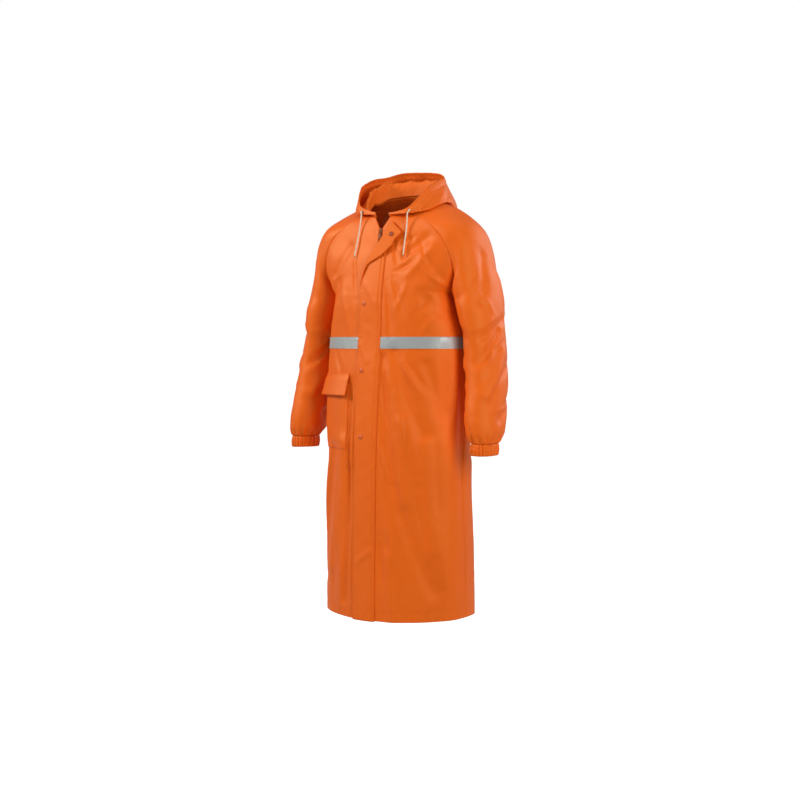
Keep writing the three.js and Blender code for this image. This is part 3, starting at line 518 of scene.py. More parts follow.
# armhole up to neck: centre front c, front seam f, shoulder t, back seam b and centre back k
yokePoints = table("cy cz fx fy fz tx ty tz bx by bz ky kz", [
    (-157, -275, 195, -25, -275, 308, -17, -242, 195, -25, -275, 118, -275),
    (-153, -247, 211, -60, -250, 293, -16, -204, 208, 16, -248, 117, -235),
    (-148, -217, 221, -90, -213, 280, -16, -161, 213, 50, -210, 115, -190),
    (-141, -180, 214, -105, -162, 268, -19, -107, 204, 76, -160, 110, -140),
    (-133, -143, 184, -108, -110, 234, -20, -62, 172, 86, -102, 100, -88),
    (-126, -102, 132, -104, -68, 172, -16, -26, 122, 68, -44, 84, -34),
    (-118, -57, 70, -88, -42, 92, -25, -8, 70, 30, 10, 60, 16),
])
# the ways in which the cloth leaves those points
yokeLeads = table("pfx pfy pfz sfx sfy sfz tty ttz sbx sby sbz pbx pby pbz", [
    (0, -110, 0, 2, -108, 5, -108, 4, 2, 108, 5, 0, 120, 0),
    (-12, -76, 0, 10, -67, 12, -98, 6, 24, 72, 12, -12, 58, 0),
    (-30, -42, 2, 26, -24, 22, -84, 8, 42, 36, 22, -28, 42, 2),
    (-50, -24, -4, 27, 3, 34, -66, 4, 34, 6, 34, -48, 26, -4),
    (-52, -8, -14, 32, 2, 30, -52, -8, 24, -14, 30, -50, 10, -8),
    (-40, -8, -14, 12, 26, 18, -40, -12, 14, -20, 22, -40, 8, 4),
    (-22, -16, -6, 10, 20, 12, -22, -8, 8, -18, -2, -22, 14, 4),
])
yoke = {**yokePoints, **yokeLeads}

# rings of the sleeve below the armhole
arm = table("z x y side deep lean", [
    (-259, 252, -16, 57, 81, 16),
    (-311, 265, -19, 54, 86, 12),
    (-360, 276, -21, 50, 83, 8),
    (-440, 287, -21, 49, 78, 5),
    (-540, 301, -37, 51, 74, 4),
    (-618, 307, -54, 52, 72, 3),
    (-664, 313, -65, 47, 64, 2),
    (-692, 316, -73, 34, 49, 0),
])

# hood laid down behind the neck: neck seam n, nape roll r, bag bottom d, outer belly e, rim m
hood = table("nx ny nz rx ry rz dx dy dz ex ey ez mx my mz", [
    (21, -116, -56, 22, -117, -54, 23, -119, -52, 24, -120, -49, 22, -119, -44),
    (44, -106, -51, 46, -107, -45, 52, -112, -46, 60, -117, -48, 52, -117, -38),
    (70, -88, -42, 74, -89, -28, 84, -96, -38, 98, -104, -46, 89, -107, -22),
    (87, -55, -25, 93, -56, 8, 110, -60, -16, 130, -66, -33, 115, -66, 27),
    (92, -18, -5, 97, -18, 38, 120, -14, 0, 150, -8, -10, 117, -12, 55),
    (80, 20, 8, 88, 32, 55, 108, 56, -12, 127, 65, -20, 101, 52, 74),
    (46, 47, 13, 50, 59, 61, 62, 100, -46, 84, 128, -22, 58, 77, 91),
    (0, 60, 16, 0, 72, 60, 0, 112, -60, 0, 152, -16, 0, 81, 94),
])

# folds: the way each faces, its two ends, width and depth (troughs are negative)
folds = [
    ("front", 36, -455, 58, -695, 14, -6),
    ("front", 58, -695, 80, -815, 16, -6),
    ("front", 80, -815, 130, -970, 18, -7),
    ("front", 130, -970, 190, -1110, 20, -6),
    ("front", 72, -440, 128, -600, 16, -6),
    ("front", 128, -600, 162, -675, 16, -5),
    ("front", 100, -640, 112, -860, 20, 5),
    ("front", 165, -480, 204, -615, 17, -6),
    ("front", 170, -700, 185, -1000, 22, 5),
    ("front", 150, -285, 196, -330, 18, -6),
    ("front", 150, -120, 90, -170, 15, -5),
    ("front", 170, -150, 105, -225, 14, 4),
    ("front", 70, -1020, 84, -1192, 22, 5),
    ("front", -95, -700, -150, -1060, 22, 6),
    ("front", -150, -720, -200, -1100, 18, -7),
    ("front", -70, -780, -85, -1150, 18, -4),
    ("front", -150, -240, -196, -330, 18, -6),
    ("front", -110, -140, -160, -215, 16, -4),
    ("back", 30, -330, 48, -760, 30, -7),
    ("back", 110, -360, 122, -800, 30, 6),
    ("back", -62, -300, -80, -900, 32, 6),
    ("back", -130, -330, -140, -820, 28, -7),
    ("back", 80, -760, 96, -1192, 34, -9),
    ("back", 10, -700, -8, -1192, 36, 8),
    ("back", -90, -820, -104, -1192, 32, -9),
    ("back", 165, -700, 172, -1192, 28, 7),
    ("back", -165, -760, -176, -1192, 28, 7),
    ("back", 60, -110, 150, -230, 24, -5),
    ("back", -60, -110, -150, -230, 24, -5),
    ("left", -110, -700, -95, -1192, 26, 5),
    ("left", 20, -760, 30, -1192, 28, 5),
    ("right", -110, -700, -95, -1192, 26, -4),
    ("right", 10, -720, 24, -1192, 28, 5),
    ("armleft", -20, -380, -95, -470, 14, -7),
    ("armleft", 10, -350, -80, -400, 12, -5),
    ("armleft", -10, -440, -100, -560, 14, 5),
    ("armleft", -30, -170, -75, -300, 15, -6),
    ("armleft", 20, -560, -60, -625, 14, -6),
    ("armright", -30, -300, -95, -400, 14, -7),
    ("armright", -10, -340, -80, -480, 13, 5),
    ("armright", -60, -170, -90, -290, 15, -5),
    ("armright", 10, -470, -70, -560, 14, -6),
    ("armright", 30, -390, -20, -430, 13, -5),
]
# finer creases, which only the cloth here has
creases = [
    ("front", -60, -560, -63, -900, 6, 2.6),
    ("front", -69, -520, -73, -930, 7, -2.6),
    ("front", -61, -900, -66, -1160, 7, 2.0),
    ("front", 40, -470, 66, -560, 7, 1.6),
    ("front", 34, -520, 52, -640, 5, -1.6),
    ("front", 34, -700, 60, -790, 6, 1.8),
    ("front", 96, -468, 150, -560, 8, 2.4),
    ("front", 118, -470, 168, -548, 7, -2.2),
    ("front", 44, -120, 70, -200, 8, -2.0),
    ("front", 60, -230, 95, -330, 10, -2.2),
    ("front", 104, -250, 70, -330, 9, 1.6),
    ("front", 128, -186, 60, -214, 8, -2.2),
    ("front", 120, -112, 66, -142, 7, -2.2),
    ("front", 136, -152, 88, -188, 6, 1.8),
    ("front", 176, -280, 140, -330, 8, -2.4),
    ("front", 190, -330, 150, -388, 9, 2.0),
    ("front", 38, -240, 60, -380, 8, -1.8),
    ("front", 36, -330, 46, -398, 6, 1.4),
    ("front", 150, -860, 176, -1010, 12, -3.0),
    ("front", 204, -430, 216, -640, 14, -4.0),
    ("front", 120, -620, 150, -800, 13, 2.4),
    ("front", 128, -128, 196, -236, 8, -2.4),
    ("front", 150, -210, 206, -262, 7, 1.8),
    ("front", 84, -560, 118, -720, 12, 2.2),
    ("front", 60, -900, 88, -1030, 10, 2.2),
    ("front", 40, -960, 52, -1100, 9, -2.2),
    ("front", 198, -900, 214, -1120, 12, 3.0),
    ("front", -90, -160, -66, -290, 9, -1.8),
    ("front", -120, -250, -92, -390, 10, 1.8),
    ("front", -150, -440, -118, -500, 9, -2.0),
    ("front", -170, -400, -190, -520, 9, -2.4),
    ("front", -112, -760, -128, -930, 13, -2.2),
    ("front", -176, -740, -206, -960, 10, 2.6),
    ("front", -96, -980, -108, -1170, 13, 2.2),
    ("front", -134, -960, -146, -1160, 14, -2.2),
    ("back", 74, -300, 84, -520, 14, -3),
    ("back", -20, -260, -34, -560, 16, -3),
    ("back", -104, -240, -112, -420, 14, 3),
    ("back", 150, -320, 160, -560, 14, -3),
    ("back", -176, -300, -188, -560, 13, 3),
    ("back", 40, -860, 48, -1180, 14, 3),
    ("back", -46, -900, -58, -1180, 14, -3),
    ("back", 124, -860, 134, -1180, 14, 3),
    ("back", -132, -900, -142, -1190, 14, 3),
    ("back", 96, -150, 40, -190, 12, 2.4),
    ("back", -96, -150, -40, -190, 12, 2.4),
    ("left", -60, -420, -52, -900, 14, -3),
    ("left", 60, -420, 66, -1000, 16, 3),
    ("right", -58, -460, -50, -900, 14, 3),
    ("right", 64, -480, 70, -1100, 16, -3),
    ("armleft", -96, -250, -40, -330, 9, 2.6),
    ("armleft", -40, -420, -104, -500, 7, 2.6),
    ("armleft", -30, -338, -98, -382, 6, 2.2),
    ("armleft", 0, -410, -60, -446, 7, -2.6),
    ("armleft", 30, -470, -50, -520, 8, -3.0),
    ("armleft", -60, -530, -100, -590, 8, -2.6),
    ("armleft", 0, -590, -70, -604, 7, 2.4),
    ("armleft", 44, -350, 60, -470, 9, -3),
    ("armleft", 60, -480, 20, -580, 9, 3),
    ("armleft", -70, -210, -96, -262, 7, -2.6),
    ("armleft", 20, -200, 40, -330, 10, 3),
    ("armright", -50, -330, -96, -372, 7, 2.4),
    ("armright", 0, -420, -76, -450, 7, -2.6),
    ("armright", -20, -500, -92, -540, 7, 2.4),
    ("armright", -40, -560, -100, -600, 8, -2.6),
    ("armright", 40, -460, 10, -560, 9, 3),
    ("armright", 50, -340, 60, -440, 9, -3),
    ("armright", 10, -220, 30, -320, 10, 2.6),
]
faces = {"front": (0, -1, 0), "back": (0, 1, 0), "left": (1, 0, 0), "right": (-1, 0, 0),
         "armleft": (1, 0, 0), "armright": (-1, 0, 0)}


def smoothStep(x, low, high):
    t = np.clip((np.asarray(x, float) - low) / (high - low), 0, 1)
    return t * t * (3 - 2 * t)


def smooth(tab, name, at):  # smooth value of a column at part rows
    values = tab[name]
    last = len(values) - 1
    at = np.asarray(at, float)
    i = np.clip(np.floor(at).astype(int), 0, last - 1)
    f = at - i
    a, b, c, d = (values[np.clip(i + k, 0, last)] for k in (-1, 0, 1, 2))
    return b + 0.5 * f * (c - a + f * (2 * a - 5 * b + 4 * c - d + f * (3 * b - 3 * c + d - a)))


def rowAt(tab, name, value):
    keys = tab[name]
    down = -1 if keys[0] > keys[-1] else 1
    return np.interp(down * np.asarray(value, float), down * keys, np.arange(len(keys)))


def pointAt(tab, prefix, at):
    return np.stack([smooth(tab, prefix + axis, at) for axis in "xyz"], axis=-1)


def vec(x, y, z):
    x, y, z = np.broadcast_arrays(*(np.asarray(c, float) for c in (x, y, z)))
    return np.stack([x, y, z], axis=-1)


def cubicPath(a, b, c, d, steps=420):
    t = np.linspace(0, 1, steps + 1)[None, :, None]
    a, b, c, d = (p[:, None, :] for p in (a, b, c, d))
    return (1 - t) ** 3 * a + 3 * (1 - t) ** 2 * t * b + 3 * (1 - t) * t * t * c + t ** 3 * d


fineSteps = np.array([0, 1.2, 2.4, 4, 6, 9, 13.0])  # columns beside a sewn edge


def spaced(lengths, count, fineStart=True, fineEnd=True):
    rows = []
    for length in lengths:
        k = min(1.0, length / 60)
        head = fineSteps * k if fineStart else np.array([0.0])
        tail = length - fineSteps[::-1] * k if fineEnd else np.array([length])
        middle = np.linspace(head[-1], tail[0], count - len(head) - len(tail) + 2)[1:-1]
        rows.append(np.concatenate([head, middle, tail]))
    return np.array(rows)


hemRows = coat["hemZ"] + np.array([0, 1.5, 4, 8, 13, 18, 21.3, 23, 24.7, 28, 33.0])
bodyZ = np.concatenate([hemRows, np.arange(hemRows[-1] + coat["rowStep"], -278, coat["rowStep"])])
yokeAt = np.linspace(0, 6, coat["yokeRows"])


def openingAt(z):  # how far the fronts open above the zip
    share = (z - coat["zipTopZ"]) / (coat["neckZ"] - coat["zipTopZ"])
    return coat["neckOpening"] * np.clip(share, 0, 1)


def flapOpen(z):
    return smoothStep(z, -142, coat["neckZ"])


# the front's columns by distance from the middle, on a row that is 300 long
flapColumn = 7
farStations = np.concatenate([
    np.linspace(52.5, 83, 10)[1:], np.linspace(83, 233, 46)[1:], np.linspace(233, 287, 15)[1:-1],
    300 - fineSteps[::-1]])
nearStations = np.linspace(26, 52.5, 9)
pocketNear = flapColumn + len(nearStations) - 1 + 9
pocketFar = pocketNear + 45


def frontDistances(total, z):
    spread = coat["neckSpread"] * flapOpen(z)
    rows = []
    for length, wide, start in zip(total, spread, coat["zipHalf"] + openingAt(z)):
        first = np.linspace(start, 26 + wide, flapColumn + 1)[:-1]
        near = nearStations + wide
        far = near[-1] + (farStations - 52.5) / (300 - 52.5) * (length - near[-1])
        rows.append(np.concatenate([first, near, far]))
    return np.array(rows)


def bodyRows(z):
    at = rowAt(body, "z", z)
    names = ("halfWidth", "frontY", "sideY", "backY", "square")
    w, front, side, back, square = (smooth(body, n, at) for n in names)
    drop = coat["hemFrontDrop"] * smoothStep(-z, 900, -coat["hemZ"])
    zero = np.zeros_like(z)
    fore = cubicPath(vec(zero, front, z - drop), vec(w * square, front, z - drop),
                     vec(w, side - square * (side - front), z), vec(w, side, z))
    aft = cubicPath(vec(w, side, z), vec(w, side + square * (back - side), z),
                    vec(w * square, back, z), vec(zero, back, z))
    return fore, aft


def yokeRows(at):
    zero = np.zeros_like(at)
    middle = vec(zero, smooth(yoke, "cy", at), smooth(yoke, "cz", at))
    rear = vec(zero, smooth(yoke, "ky", at), smooth(yoke, "kz", at))
    f, t, b = (pointAt(yoke, prefix, at) for prefix in "ftb")
    tip = vec(zero, smooth(yoke, "tty", at), smooth(yoke, "ttz", at))
    square = np.maximum(0.5, 0.84 - 0.2 * at)
    fore = cubicPath(middle, vec(f[:, 0] * square, middle[:, 1], middle[:, 2]),
                     f + pointAt(yoke, "pf", at), f)
    aft = cubicPath(b, b + pointAt(yoke, "pb", at), vec(b[:, 0] * square, rear[:, 1], rear[:, 2]), rear)
    over = cubicPath(f, f + pointAt(yoke, "sf", at), t + tip, t)
    under = cubicPath(t, vec(t[:, 0], t[:, 1] - tip[:, 1], t[:, 2] + tip[:, 2]),
                      b + pointAt(yoke, "sb", at), b)
    return fore, aft, np.concatenate([over, under[:, 1:]], axis=1)


def armRings(z):
    at = rowAt(arm, "z", z)
    x, y, side, deep, lean = (smooth(arm, n, at) for n in ("x", "y", "side", "deep", "lean"))
    inner, outer = vec(x - side, y, z - lean), vec(x + side, y, z + lean)
    reach = vec(0 * z, 4 / 3 * deep, 0 * z)
    over = cubicPath(inner, inner - reach, outer - reach, outer)
    under = cubicPath(outer, outer + reach, inner + reach, inner)
    return np.concatenate([over, under[:, 1:]], axis=1)


def gridNormals(grid, wrapRows=0):
    down = np.gradient(grid, axis=0)
    across = np.gradient(grid, axis=1)
    if wrapRows:
        ends = grid[:wrapRows, 1] - grid[:wrapRows, -2]
        across[:wrapRows, 0] = across[:wrapRows, -1] = ends
    n = np.cross(across, down)
    return n / np.maximum(np.linalg.norm(n, axis=2, keepdims=True), 1e-9)


def foldDepth(p, n, group, tapered):  # folds that meet end to end don't add up
    high = np.zeros(p.shape[:2])
    low = np.zeros(p.shape[:2])
    for face, a0, z0, a1, z1, width, depth in group:
        facing = np.clip(n @ np.array(faces[face], float), 0, 1)
        if face not in ("front", "back"):
            facing = facing * ((np.abs(p[..., 0]) > 236) == face.startswith("arm"))
        a = p[..., 0] if face in ("front", "back") else p[..., 1]
        along = np.array([a1 - a0, z1 - z0], float)
        t = np.clip(((a - a0) * along[0] + (p[..., 2] - z0) * along[1]) / (along @ along), 0, 1)
        reach = np.hypot(a - a0 - t * along[0], p[..., 2] - z0 - t * along[1]) / width
        part = depth * np.exp(-reach ** 2) * np.sqrt(facing)
        if tapered:
            part = part * np.sin(math.pi * np.clip(t, 0.08, 0.92)) ** 0.7
        high, low = np.maximum(high, part), np.minimum(low, part)
    return high + low


def softNoise(p, size, seed):  # smooth random field over space, the same on each run
    q = p / size + seed * 17.3
    i = np.floor(q).astype(np.int64)
    f = q - i
    f = f * f * (3 - 2 * f)
    total = 0
    for corner in range(8):
        step = np.array([corner & 1, corner >> 1 & 1, corner >> 2 & 1])
        c = i + step
        h = (c[..., 0] * 73856093 ^ c[..., 1] * 19349663 ^ c[..., 2] * 83492791) & 0xFFFFF
        value = np.sin(h * 12.9898) * 43758.5453 % 1.0
        total = total + np.prod(np.where(step, f, 1 - f), axis=-1) * value
    return total * 2 - 1


def creased(grid, wrapRows=0, side=1):
    n = gridNormals(grid, wrapRows) * side
    size = coat["wrinkleSize"]
    ripple = softNoise(grid * (1, 1, 0.5), size, 1) + 0.5 * softNoise(grid, size * 0.4, 2)
    depth = coat["foldDepth"] * foldDepth(grid, n, folds, False)
    depth = depth + coat["creaseDepth"] * foldDepth(grid, n, creases, True)
    depth = depth + coat["wrinkleDepth"] * ripple
    armpit = vec(np.sign(grid[..., 0]) * 195, -25, -275)
    depth = depth * smoothStep(np.linalg.norm(grid - armpit, axis=2), 15, 60)
    return grid + n * depth[..., None]


def runs(grid, axis):  # distance walked along a grid's rows or columns
    step = np.linalg.norm(np.diff(grid, axis=axis), axis=2)
    pad = [(0, 0), (0, 0)]
    pad[axis] = (1, 0)
    return np.pad(np.cumsum(step, axis=axis), pad)


def sewnEdge(grid, n, fromEdge, along, seed, pucker=1.0, dip=1.0):  # a seam draws the cloth in
    uneven = softNoise(grid, 11.0, seed) + 0.6 * softNoise(grid, 5.0, seed + 3)
    wave = np.sin(2 * math.pi * (along / 13.0 + 0.35 * softNoise(grid, 30.0, seed + 5)))
    near = np.exp(-(fromEdge / 9.0) ** 2)
    depth = coat["seamPucker"] * pucker * near * (0.6 * wave + 0.7 * uneven)
    depth -= coat["seamDip"] * dip * np.exp(-(fromEdge / 2.2) ** 2)
    return grid + n * depth[..., None]


print("working out the panels")
foreBody, aftBody = bodyRows(bodyZ)
foreYoke, aftYoke, overYoke = yokeRows(yokeAt)
forePaths = np.concatenate([foreBody, foreYoke])
aftPaths = np.concatenate([aftBody, aftYoke])
bodyRowCount = len(bodyZ)
centreZ = forePaths[:, 0, 2]
frontBase = resample(forePaths, lambda total: frontDistances(total, centreZ))
backHalf = resample(aftPaths, lambda total: spaced(total, coat["backHalfColumns"], True, False))
backBase = np.concatenate([backHalf, backHalf[:, -2::-1] * mirrorX], axis=1)
armZ = np.concatenate([[-692, -689], np.arange(-685.5, -279, 4.5)])
armCount = len(armZ)
sleevePaths = np.concatenate([armRings(armZ), overYoke])
sleeveBase = resample(sleevePaths, lambda total: spaced(total, coat["sleeveColumns"]))

wrist = {"gathers": 15.5, "depth": 4.2, "from": 646.0}


def panel(base, side=1, wrapRows=0, seed=1, hem=True, sides=("last",)):
    grid = creased(base if side > 0 else base * mirrorX, wrapRows, side)
    n = gridNormals(grid, wrapRows) * side
    down, over = runs(grid, 0), runs(grid, 1)
    sewn = np.ones(grid.shape[:2])
    if wrapRows:
        sewn *= (np.arange(len(grid)) >= wrapRows)[:, None]
        share = over / over[:, -1:]
        gather = np.sin(2 * math.pi * wrist["gathers"] * share + 2 * np.sin(9 * share + seed))
        fade = smoothStep(-base[..., 2], wrist["from"], 688) ** 1.4
        uneven = 0.75 + 0.35 * softNoise(grid, 28.0, seed)
        hold = 1 - 0.75 * smoothStep(-base[..., 2], 686, 692)
        grid = grid + n * (wrist["depth"] * gather * fade * uneven * hold)[..., None]
    if "last" in sides:
        grid = sewnEdge(grid, n, over[:, -1:] - over + (1 - sewn) * 99, down, seed)
    if "first" in sides:
        grid = sewnEdge(grid, n, over + (1 - sewn) * 99, down, seed + 1)
    grid = sewnEdge(grid, n, down[-1] - down, over, seed + 2, 0.5)
    if hem:
        grid = sewnEdge(grid, n, np.abs(down - coat["hemDepth"]), over, seed + 4, 0.8, 0.5)
    return grid


frontLeft = panel(frontBase, seed=1)
frontRight = panel(frontBase, -1, seed=11)
back = panel(backBase, seed=21, sides=("first", "last"))
sleeveLeft = panel(sleeveBase, 1, armCount, 31, False, ("first", "last"))
sleeveRight = panel(sleeveBase, -1, armCount, 41, False, ("first", "last"))


def wallQuads(rows, cols, wrapRows=0):
    r, c = np.meshgrid(np.arange(rows - 1), np.arange(cols - 1), indexing="ij")
    o = (r * cols + c).ravel()
    skin = np.stack([o, o + 1, o + cols + 1, o + cols], axis=1)
    lift = rows * cols
    low = np.arange(cols - 1)
    high = low + (rows - 1) * cols
    left = np.arange(wrapRows, rows - 1) * cols
    right = left + cols - 1
    rim = np.concatenate([
        np.stack([low + 1, low, low + lift, low + 1 + lift], axis=1),
        np.stack([high, high + 1, high + 1 + lift, high + lift], axis=1),
        np.stack([left, left + cols, left + cols + lift, left + lift], axis=1),
        np.stack([right + cols, right, right + lift, right + cols + lift], axis=1)])
    marks = np.concatenate([0 * o, 0 * o + 1, np.zeros(len(rim), int)])
    return np.concatenate([skin, skin[:, ::-1] + lift, rim]), marks


def clothWall(name, grid, thickness, wrapRows=0, side=1, lift=0.0, outside=orange, within=inside):
    n = gridNormals(grid, wrapRows) * side
    outer = grid + n * np.asarray(lift)[..., None]
    inner = outer - n * thickness
    quads, marks = wallQuads(grid.shape[0], grid.shape[1], wrapRows)
    points = np.concatenate([outer.reshape(-1, 3), inner.reshape(-1, 3)])
    rows, cols = grid.shape[:2]
    if wrapRows:  # on a closed ring the last column is the first one
        first = np.arange(min(wrapRows + 1, rows)) * cols
        same = np.arange(len(points))
        for skin in (first, first + rows * cols):
            same[skin + cols - 1] = skin
        used, quads = np.unique(same[quads], return_inverse=True)
        points, quads = points[used], quads.reshape(-1, 4)
    return meshPiece(name, points, quads[:, ::-1] if side < 0 else quads, (outside, within), marks)


def stitchRuns(name, lines, pitch=3.6, length=2.7, radius=0.42, thread="orange sewing thread"):
    ring = [(math.cos(k * math.pi / 3), math.sin(k * math.pi / 3)) for k in range(6)]
    stitch = np.array([(-0.5, 0, 0)] + [(-0.3, c, s) for c, s in ring] +
                      [(0.3, c, s) for c, s in ring] + [(0.5, 0, 0)])
    stitch = stitch * (length, radius, radius)
    tris = [(0, 1 + (k + 1) % 6, 1 + k) for k in range(6)]
    tris += [(13, 7 + k, 7 + (k + 1) % 6) for k in range(6)]
    for k in range(6):
        a, b = 1 + k, 1 + (k + 1) % 6
        tris += [(a, b, b + 6), (a, b + 6, a + 6)]
    points, faces, count = [], [], 0
    for line, normals in lines:
        run = np.concatenate([[0], np.cumsum(np.linalg.norm(np.diff(line, axis=0), axis=1))])
        at = np.arange(pitch, run[-1] - pitch * 0.7, pitch)
        if len(at) == 0:
            continue
        place, out = (np.stack([np.interp(at, run, a[:, k]) for k in range(3)], axis=1)
                      for a in (line, normals))
        ahead = np.stack([np.interp(at + 1, run, line[:, k]) for k in range(3)], axis=1) - place
        ahead /= np.linalg.norm(ahead, axis=1, keepdims=True)
        out -= ahead * (out * ahead).sum(axis=1, keepdims=True)
        out /= np.linalg.norm(out, axis=1, keepdims=True)
        frameOf = np.stack([ahead, np.cross(out, ahead), out], axis=1)
        points.append((place[:, None] + np.einsum("vk,nkd->nvd", stitch, frameOf)).reshape(-1, 3))
        shift = count + len(stitch) * np.arange(len(at))[:, None, None]
        faces.append((np.array(tris)[None] + shift).reshape(-1, 3))
        count += len(stitch) * len(at)
    piece = meshPiece(name, np.concatenate(points), np.concatenate(faces), (finishes[thread],))
    return dress(piece, "shell")


def across(grid, side, fromStart, wrapRows=0, rows=slice(None)):  # a line down a panel near its edge
    n = gridNormals(grid, wrapRows) * side
    over = runs(grid, 1)
    line, out = [], []
    for r in range(*rows.indices(len(grid))):
        d = fromStart if fromStart >= 0 else over[r, -1] + fromStart
        line.append([np.interp(d, over[r], grid[r, :, k]) for k in range(3)])
        out.append([np.interp(d, over[r], n[r, :, k]) for k in range(3)])
    return np.array(line), np.array(out)


def along(grid, side, fromStart, wrapRows=0, cols=slice(None)):  # a line along a panel above its edge
    turned = grid.transpose(1, 0, 2)
    n = (gridNormals(grid, wrapRows) * side).transpose(1, 0, 2)
    over = runs(turned, 1)
    line, out = [], []
    for c in range(*cols.indices(len(turned))):
        d = fromStart if fromStart >= 0 else over[c, -1] + fromStart
        line.append([np.interp(d, over[c], turned[c, :, k]) for k in range(3)])
        out.append([np.interp(d, over[c], n[c, :, k]) for k in range(3)])
    return np.array(line), np.array(out)


def cutSize(piece, name, held, rests_on=(), with_pieces=()):
    cut = cuts[name]
    mesh = piece.data
    skin = sum(p.area for p in mesh.polygons) / 2
    print("cloth", piece.name, "measures", round(skin, 4), "m2, cut", cut)
    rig.sheet(piece, flat=cut[:2], held=held, rests_on=rests_on, area=cut[2], with_pieces=with_pieces)


# what each piece was cut to: width and length in metres, and area in square metres
cuts = {
    "front": (0.37, 1.18, 0.325),
    "back": (0.72, 1.23, 0.683),
    "sleeve": (0.48, 0.75, 0.265),
    "hood": (0.38, 0.34, 0.073),
    "flap": (0.08, 1.14, 0.0905),
    "pocket": (0.165, 0.2, 0.033),
    "pocketFlap": (0.158, 0.068, 0.0107),
    "tapeFront": (0.285, 0.033, 0.0094),
    "tapeBack": (0.61, 0.033, 0.0201),
    "cuff": (0.32, 0.034, 0.0105),
    "zipTape": (0.014, 1.11, 0.01554),
}

print("making the panels")
yokeSlice = slice(bodyRowCount, None)
for node, grid, side in (("front_left", frontLeft, 1), ("front_right", frontRight, -1)):
    piece = dress(clothWall("coat_" + node, grid, coat["cloth"], side=side), "shell", node)
    lines = [along(grid, side, coat["hemDepth"]), across(grid, side, -3.0, rows=yokeSlice),
             across(grid, side, -9.5, rows=yokeSlice), across(grid, side, 2.6)]
    stitches = stitchRuns("stitches_" + node, lines)
    cutSize(piece, "front", "hung", with_pieces=[stitches])

backPiece = dress(clothWall("coat_back", back, coat["cloth"]), "shell", "back")
lines = [along(back, 1, coat["hemDepth"])]
for edge in (3.0, -3.0):
    lines.append(across(back, 1, edge))
    lines.append(across(back, 1, edge * 3.2, rows=yokeSlice))
cutSize(backPiece, "back", "hung", with_pieces=[stitchRuns("stitches_back", lines)])

for node, grid, side in (("sleeve_left", sleeveLeft, 1), ("sleeve_right", sleeveRight, -1)):
    piece = dress(clothWall("coat_" + node, grid, coat["cloth"], armCount, side), "shell", node)
    lines = [along(grid, side, 4.0, armCount)]
    cutSize(piece, "sleeve", "hung", with_pieces=[stitchRuns("stitches_" + node, lines)])

# hood: two halves, lying down behind the neck
hoodShape = {"columns": 64, "ripple": 0.7, "sag": 5.0, "lean": 0.07, "casing": 19.0, "bulge": 0.9,
             "gathers": 0.9}
# hood folds: share from the front end, share from neck to rim, at both ends; width in mm, depth
hoodFolds = [
    (0.30, 0.62, 0.44, 0.80, 9, -3.0),
    (0.42, 0.58, 0.60, 0.84, 10, 2.6),
    (0.56, 0.66, 0.72, 0.90, 9, -2.8),
    (0.20, 0.70, 0.30, 0.88, 7, 2.0),
    (0.74, 0.50, 0.86, 0.86, 12, 3.0),
    (0.86, 0.55, 0.94, 0.84, 10, -3.0),
    (0.45, 0.18, 0.54, 0.30, 6, -3.4),
    (0.58, 0.14, 0.62, 0.30, 6, 3.2),
    (0.66, 0.20, 0.78, 0.28, 6, -3.6),
    (0.70, 0.12, 0.80, 0.16, 6, 2.4),
    (0.84, 0.12, 0.88, 0.30, 6, 3.2),
    (0.92, 0.14, 0.95, 0.27, 6, -3.2),
]
# finer columns and rows where the casing, the seams and the gathers are
hoodAcross = np.concatenate([
    np.linspace(0, 0.1, 9)[:-1], np.linspace(0.1, 0.86, 44)[:-1], np.linspace(0.86, 1, 16)])


